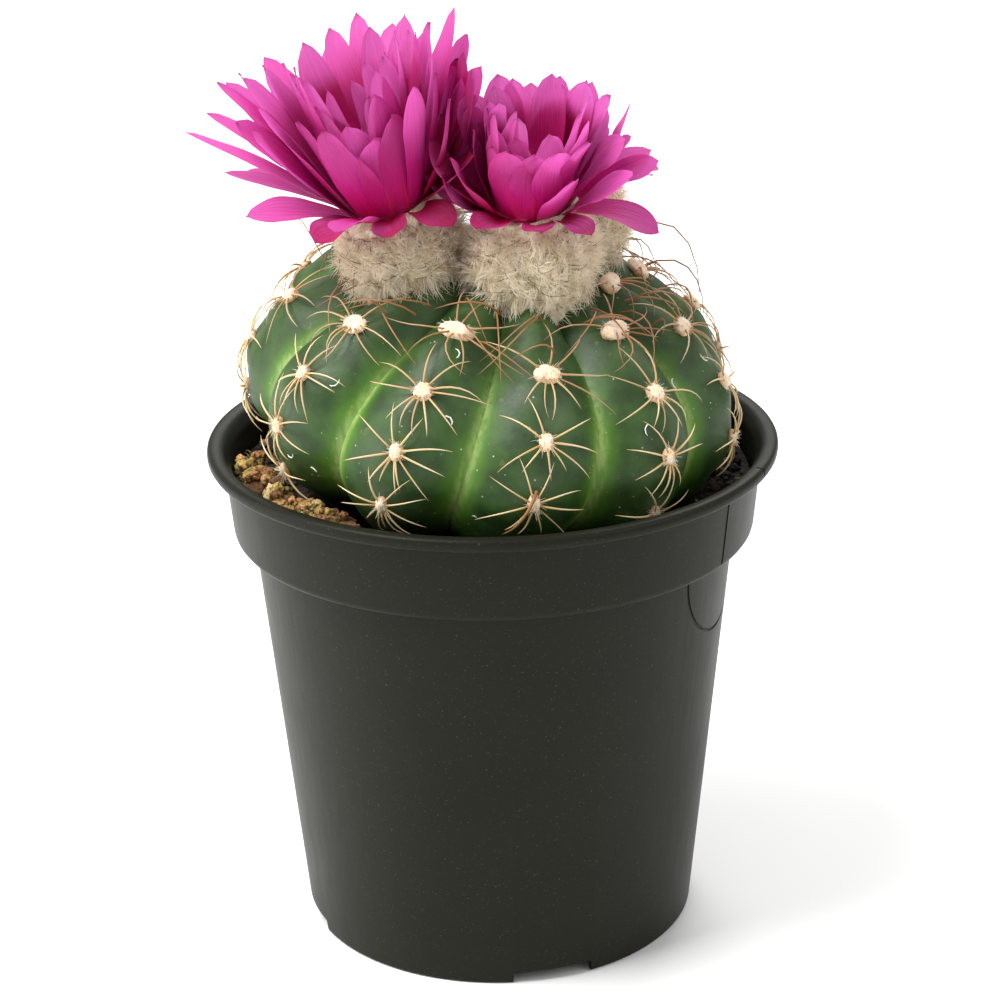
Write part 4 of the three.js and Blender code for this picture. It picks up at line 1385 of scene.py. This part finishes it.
def pink_tissue():
    """A thin satin tissue. Light comes through it, and it deepens to crimson at its root."""
    finish = Finish("pink_tissue")
    pale, body, deep = "f08ce2", "ce1690", "bc0c5c"
    way, side, age, inner = (finish.read(name) for name in ("way", "side", "age", "inner"))
    along_veins = finish.node("CombineXYZ", {0: side * 8 + age * 9, 1: way * 1.1, 2: age * 31})
    veins = finish.node("TexNoise", {"Vector": along_veins, "Scale": 2.2, "Detail": 3.0})
    # Inner petals are paler at the root: partly paler tissue, partly painted light shining through there.
    pale_root = (1 - way.between(0.15, 0.42)) * inner
    # A dark band across the middle of the inner petals is painted shadow from the petals in front of them. It
    # also lets less light through.
    painted_shadow_band = way.between(0.3, 0.5) * (1 - way.between(0.62, 0.82)) * inner * (0.4 + age * 0.6)
    rib = (1 - (side * side).between(0.0, 0.03)) * (1 - way.between(0.15, 0.6)) * (1 - inner * 0.6)
    tanned = age.between(0.7, 1.0) * way.between(0.45, 1.0) * (veins.between(0.35, 0.6))
    # Short and pressed sepals (inner -1) turn crimson. On short ones this is their own colour, and on pressed
    # ones it is painted shade. Both let less light through.
    crimson_and_shade = (1 - inner).between(1, 2)
    colour = finish.layered(
        finish.mix(way.between(0.0, 0.55), deep, body),
        # The tips turn pale, most on the inner whorls: partly paler tissue, partly painted light shining
        # through the tips.
        (way.between(0.35, 1.0) * (0.4 + inner * 0.45), pale), (pale_root * 0.4, "f08cc8"),
        (painted_shadow_band * 0.95, "8a0c44"), ((1 - veins.between(0.36, 0.62)) * 0.42, deep), (rib * 0.45, "e02838"),
        # Petals with a low age are darkened at random to set overlapping petals apart: painted shade.
        (tanned * 0.6, "a9786a"), ((1 - age.between(0.0, 0.45)) * 0.4, deep), (crimson_and_shade * 0.85, "a00a3a"),
        (way.between(0.955, 1.0) * age.between(0.2, 0.8) * 0.8, "8a4a44"), (0.15, deep),
    )
    skin = finish.surface(
        Base_Color=colour, Normal=finish.bump(veins, 0.25, 0.9), Roughness=0.42, Specular_IOR_Level=0.2,
    )
    thin = (0.2 + 0.36 * way.between(0.1, 0.8) * (1 - painted_shadow_band)) * (0.7 + 0.3 * veins.between(0.4, 0.62))
    return finish.sheet(thin - 0.2 * crimson_and_shade, skin, "e66cc6")


# %% Petals: blooms made


def make_bloom(flower):
    petals = [sepal(flower, i) for i in range(len(flower["sepals"]))]
    for number, whorl in enumerate(flower["whorls"]):
        petals += [whorl_petal(flower, number, i) for i in range(whorl[0])]
    flat = petal_master()
    twins = []
    for petal in petals:
        twin = copy_of(flat, petal_move(flower, petal), age=petal["age"], inner=petal["inner"])
        mark(twin.data, "way", [v.co.y / MM for v in flat.data.vertices])
        mark(twin.data, "side", [v.co.x / MM for v in flat.data.vertices])
        twins.append(twin)
    drop(flat)
    return smooth(joined(flower["name"] + "_blades", twins), 60)


pink = pink_tissue()
for flower in frames:
    finished(make_bloom(flower), pink, "petals", flower["name"] + "_petals")

# %% [markdown]
# ## Inside the blooms
# The petals grow from a shallow cup. On its floor stand many stamens, each a thin filament with a
# yellow anther, and in their middle a style with a star of dark red lobes.

# %% Blooms: cups


def plain_finish(name, light, shade, grain=0.5, roughness=0.55):
    finish = Finish(name)
    tone = finish.mix(finish.cloud(grain, 3).between(0.3, 0.7), shade, light)
    bumped = finish.bump(finish.cloud(grain, 3), 0.08, 0.6)
    return finish.coat(Base_Color=tone, Roughness=roughness, Normal=bumped)


def in_bloom(flower, piece):
    """Carries a piece that was made upright at the origin into its bloom."""
    return reshaped(piece, lambda point: flower["bloom"] @ point)


def make_cup(flower, tissue):
    """A shallow cup just inside the petals' roots, so that wool and petals hide it."""
    foot, rim = CUP["foot"] - CUP["inset"], CUP["rim"] - CUP["inset"]
    low, top = CUP["bottom"], CUP["rim_height"] - 0.5
    rings = [(foot, low), (foot + 0.1, 0.6), (rim, top)]
    rings += [(rim - 0.8, top), (foot - 0.8, 0.4), (foot - 1, low + 1.2)]
    cup = in_bloom(flower, grown(flower["name"] + "_cup", 48, rings))
    return finished(smooth(cup, 50), tissue, "petals")


cup_tissue = plain_finish("cup_tissue", "c2255f", "8d1640")
for flower in frames:
    make_cup(flower, cup_tissue)

# %% Blooms: stamens and stigmas
STAMENS = {"count": 46, "length": 7.2, "ring": 3.7, "filament": 0.2, "anther": 0.62}
STYLE = {"radius": 0.75, "length": 9.5, "lobes": 10, "lobe_length": 3.0}


def stamen_path(flower, i):
    azimuth = i * 137.5
    out = heading(azimuth)
    root = out * STAMENS["ring"] * math.sqrt(0.2 + 0.8 * draw(i + 31)) + UP * (CUP["bottom"] + 1.6)
    tilt = 0.08 + 0.2 * draw(i + 57)
    reach = STAMENS["length"] * (0.8 + 0.35 * draw(i + 83))
    return arc(root, (UP + out * tilt).normalized(), out * 0.06 - UP * 0.04, reach)


def make_stamens(flower, filament_skin, anther_skin):
    length = 10.0
    thread = grown("filament", 5, [(1, 0), (0.9, length * 0.5), (0.7, length)])
    add = bpy.ops.mesh.primitive_ico_sphere_add
    grain = start(add, "anther", subdivisions=2, radius=STAMENS["anther"] * MM)
    threads, anthers = [], []
    for i in range(STAMENS["count"]):
        path = stamen_path(flower, i)
        placed = lambda share, path=path: flower["bloom"] @ path(share)
        side = flower["bloom"].col[0].xyz
        threads.append(copy_of(thread, along(placed, length, STAMENS["filament"], side)))
        tip, long = placed(1), (placed(1) - placed(0.9)).normalized()
        anthers.append(copy_of(grain, lambda p, tip=tip, long=long: tip + p + long * p.dot(long) * 0.7))
    drop(thread, grain)
    finished(smooth(joined(flower["name"] + "_filaments", threads), 80), filament_skin, "stamens")
    pollen = smooth(joined(flower["name"] + "_anthers", anthers), 80)
    finished(pollen, anther_skin, "stamens", flower["name"] + "_stamens")


def make_stigma(flower, skin):
    low, thin = CUP["bottom"] + 1.7, STYLE["radius"]
    high = low + STYLE["length"]
    rings = [(thin, low), (thin - 0.05, high - 4), (thin + 0.2, high - 0.4), (0.5, high + 0.2)]
    column = in_bloom(flower, grown("style", 12, rings))
    length = 3.0
    lobe = grown("lobe", 8, [(0.42, 0), (0.5, 0.8), (0.5, 1.8), (0.34, 2.6), (0.08, length)])
    lobes = []
    for i in range(STYLE["lobes"]):
        out = heading(360 / STYLE["lobes"] * i + spread(i + 3, 5))
        root, way = UP * (high - 0.5) + out * 0.3, (out + UP * 0.35).normalized()
        path = arc(root, way, UP * 0.2, STYLE["lobe_length"])
        placed = lambda share, path=path: flower["bloom"] @ path(share)
        lobes.append(copy_of(lobe, along(placed, length, 1, flower["bloom"].col[2].xyz)))
    drop(lobe)
    star = smooth(joined(flower["name"] + "_star", [column, *lobes]), 70)
    return finished(star, skin, "stigma", flower["name"] + "_stigma")


filament_skin = plain_finish("filament_skin", "f0c978", "d77f5a")
anther_skin = plain_finish("anther_skin", "f6d75a", "c99422", 0.3, 0.85)
stigma_skin = plain_finish("stigma_skin", "9c2344", "5d0f26", 0.3, 0.6)
for flower in frames:
    make_stamens(flower, filament_skin, anther_skin)
    make_stigma(flower, stigma_skin)

# %% [markdown]
# ## Soil and crumbs
# The soil fills the pot to below its rim and is nearly black. It is a lathe form whose top is made
# uneven, with a plain hole for the plant. Loose grains lie on it, and on the left a heap of
# orange-brown bark and grit with some moss fills the gap between the plant and the pot.

# %% Soil: block
SOIL = {"sides": 160, "rows": 14, "side_gap": 0.6, "relief": 1.5, "level_middle": 14, "clearance": 0.9}
NECK_HOLE = [(3.4, 57.4), (7.6, 74), (9.4, 89)]  # as (radius, height)


def dark_soil():
    finish = Finish("dark_soil")
    lumps = finish.cloud(2.4, 5)
    fibres = finish.cloud(0.7, 4, stretch=(1, 3, 1)).between(0.62, 0.7)
    earth = finish.mix(lumps.between(0.35, 0.7), "120d09", "2a1f16")
    bumped = finish.bump(finish.cloud(0.8, 5) + lumps, 0.9)
    return finish.coat(Base_Color=finish.mix(fibres * 0.5, earth, "5a4028"), Roughness=0.95, Normal=bumped)


def bowl_cutter(clearance):
    """The body's hull, a little bigger, which leaves the plain hole."""
    bowl = start(bpy.ops.mesh.primitive_uv_sphere_add, "bowl", segments=64, ring_count=40, radius=1)
    for vertex in bowl.data.vertices:
        angle = math.degrees(math.asin(clamp(vertex.co.z, -1, 1)))
        azimuth = math.degrees(math.atan2(vertex.co.x, -vertex.co.y))
        vertex.co = PLACE @ on_body(azimuth, angle, clearance, 0)[0] * MM
    return bowl


def make_soil():
    gap, rows = SOIL["side_gap"], SOIL["rows"]
    floor_top = POT["floor"] + POT["wall"] + 0.3
    shelf = POT["step"] + POT["wall"] + 0.3
    edge = pot_inside(SOIL_LEVEL) - gap
    rings = [(pot_inside(floor_top) - gap, floor_top), (pot_inside(POT["step"]) - gap, shelf - 0.6)]
    rings += [(pot_inside(shelf) - gap, shelf), (edge, SOIL_LEVEL - 0.5)]
    rings += [(between(edge - 0.6, SOIL["level_middle"], i / rows), SOIL_LEVEL) for i in range(rows + 1)]
    soil = grown("soil_block", SOIL["sides"], rings)
    for vertex in soil.data.vertices:
        spot = vertex.co / MM
        if spot.z > SOIL_LEVEL - 0.1 and spot.xy.length > SOIL["level_middle"] + 0.5:
            dip = 0.5 + 0.5 * field.noise(spot * 0.25) + 0.35 * field.noise(spot * 0.9)
            vertex.co.z -= SOIL["relief"] * clamp(dip) * MM
    cut(soil, bowl_cutter(SOIL["clearance"]), grown("neck_hole", 48, NECK_HOLE))
    return finished(smooth(soil, 50), dark_soil(), "soil", "soil")


make_soil()

# %% Soil: grains on its surface
GRAINS = {"count": 900, "radius": (0.35, 1.15), "ring": (33, 46)}
EARTHS = [(0.0, "0e0a07"), (0.55, "2c2017"), (0.9, "54402b"), (1.0, "8b7152")]


def crumb_move(at, size, seed, squash=0.8):
    """A lump with its own dents and turns."""
    turn = Matrix.Rotation(draw(seed) * 6.28, 3, "Z") @ Matrix.Rotation(draw(seed + 1) * 3.14, 3, "X")
    offset = Vector((seed * 3.1, seed * 1.7, 0))

    def move(point):
        dents = 1 + 0.45 * field.noise(point * 1.3 + offset) + 0.2 * field.noise(point * 3.1 + offset)
        body = turn @ Vector((point.x, point.y * squash, point.z * squash * 0.9))
        return at + body * size * dents

    return move


def body_radius(level):
    """How wide the plant is at a level from -1, its foot, to 1, its crown."""
    return PLANT["radius"] * (1 - abs(level) ** PLANT["roundness"]) ** (1 / PLANT["roundness"])


def make_grains():
    master = start(bpy.ops.mesh.primitive_ico_sphere_add, "grain", subdivisions=2, radius=MM)
    twins = []
    for i in range(GRAINS["count"]):
        seed = i * 2.3 + 7
        radius = between(*GRAINS["ring"], math.sqrt(draw(seed)))
        size = between(*GRAINS["radius"], draw(seed + 1) ** 2)
        spot = heading(draw(seed + 2) * 360) * radius + UP * (SOIL_LEVEL - 0.4 + size * 0.3)
        local = PLACE.inverted() @ spot
        level = local.z / PLANT["half_height"]
        if abs(level) < 1 and local.xy.length < body_radius(level) + size:
            continue
        twins.append(copy_of(master, crumb_move(spot, size, seed), tone=draw(seed + 3)))
    drop(master)
    finish = Finish("soil_grain")
    colour = finish.ramp(finish.read("tone"), *EARTHS)
    bumped = finish.bump(finish.cloud(0.3, 4), 0.25)
    earth = finish.coat(Base_Color=colour, Roughness=0.95, Normal=bumped)
    return finished(smooth(joined("soil_grains", twins), 50), earth, "soil")


make_grains()

# %% Crumbs and moss
HEAP = {
    "from": -84, "to": -33, "level": 88.6, "inner": 41, "outer": 47.4, "crumbs": 60,
    "big": (1.7, 3.0), "small": (0.8, 1.5),
}
BARKS = [(0.0, "4a3320"), (0.35, "9a6c3e"), (0.7, "c99b62"), (1.0, "e6cb9f")]


def crumb_finish():
    finish = Finish("bark_crumbs")
    tone, pits = finish.read("tone"), finish.cloud(0.8, 5)
    green = (finish.cloud(3.5, 3) + 0.25 * tone).between(0.68, 0.8)
    layers = [(1 - pits.between(0.36, 0.52), "41270f"), (green * 0.8, "8a8a3a")]
    colour = finish.layered(finish.ramp(tone, *BARKS), *layers)
    return finish.coat(Base_Color=colour, Roughness=0.9, Normal=finish.bump(pits, 0.6))


def make_crumbs():
    master = start(bpy.ops.mesh.primitive_ico_sphere_add, "crumb", subdivisions=4, radius=MM)
    twins = []
    for i in range(HEAP["crumbs"]):
        seed = i * 5.1 + 2
        big = i % 3 == 0
        size = between(*HEAP["big" if big else "small"], draw(seed))
        azimuth = between(HEAP["from"] - 2, HEAP["to"] + 1, (i + 0.5) / HEAP["crumbs"])
        radius = between(HEAP["inner"] + 1.5, HEAP["outer"] - size * 0.75, draw(seed + 1))
        rise = 0.6 if big else 1.4 + 2.6 * draw(seed + 2)
        at = heading(azimuth) * radius + UP * (HEAP["level"] + rise + size * 0.5)
        twins.append(copy_of(master, crumb_move(at, size, seed), tone=draw(seed + 3)))
    drop(master)
    return finished(smooth(joined("crumbs", twins), 60), crumb_finish(), "crumbs", "crumb_heap")


make_crumbs()

# %% Moss on the crumbs
MOSS = {"hairs": 110, "length": 2.6, "radius": 0.075}
# Each place is an azimuth, a distance from the middle and a height.
MOSS_PLACES = [(-84, 44, 90.6), (-79, 45.5, 91), (-74, 44, 90.2), (-47, 45, 90.4), (-38, 45.5, 90)]


def moss_paths(number, azimuth, distance, height):
    """A tangle of short threads round one place."""
    paths, reach = [], MOSS["length"] * 0.6
    for i in range(MOSS["hairs"]):
        seed = number * 71 + i * 2.1
        offset, swing, ending = (Vector([spread(seed + k, far) for k in ways]) for ways, far in (
            ((1, 2, 3), 1), ((4, 5, 6), reach), ((7, 8, 9), reach)))
        first = heading(azimuth) * distance + UP * height + offset * 1.5
        paths.append(bow(first, first + swing + UP * 0.5, first + ending))
    return paths


tones = [draw(i + 9) for i in range(MOSS["hairs"])]
moss = [(moss_paths(number, *place), tones) for number, place in enumerate(MOSS_PLACES)]
make_hairs("moss", moss, MOSS["radius"], hair_finish("moss", "a3a044", "3d4220"), "crumbs")
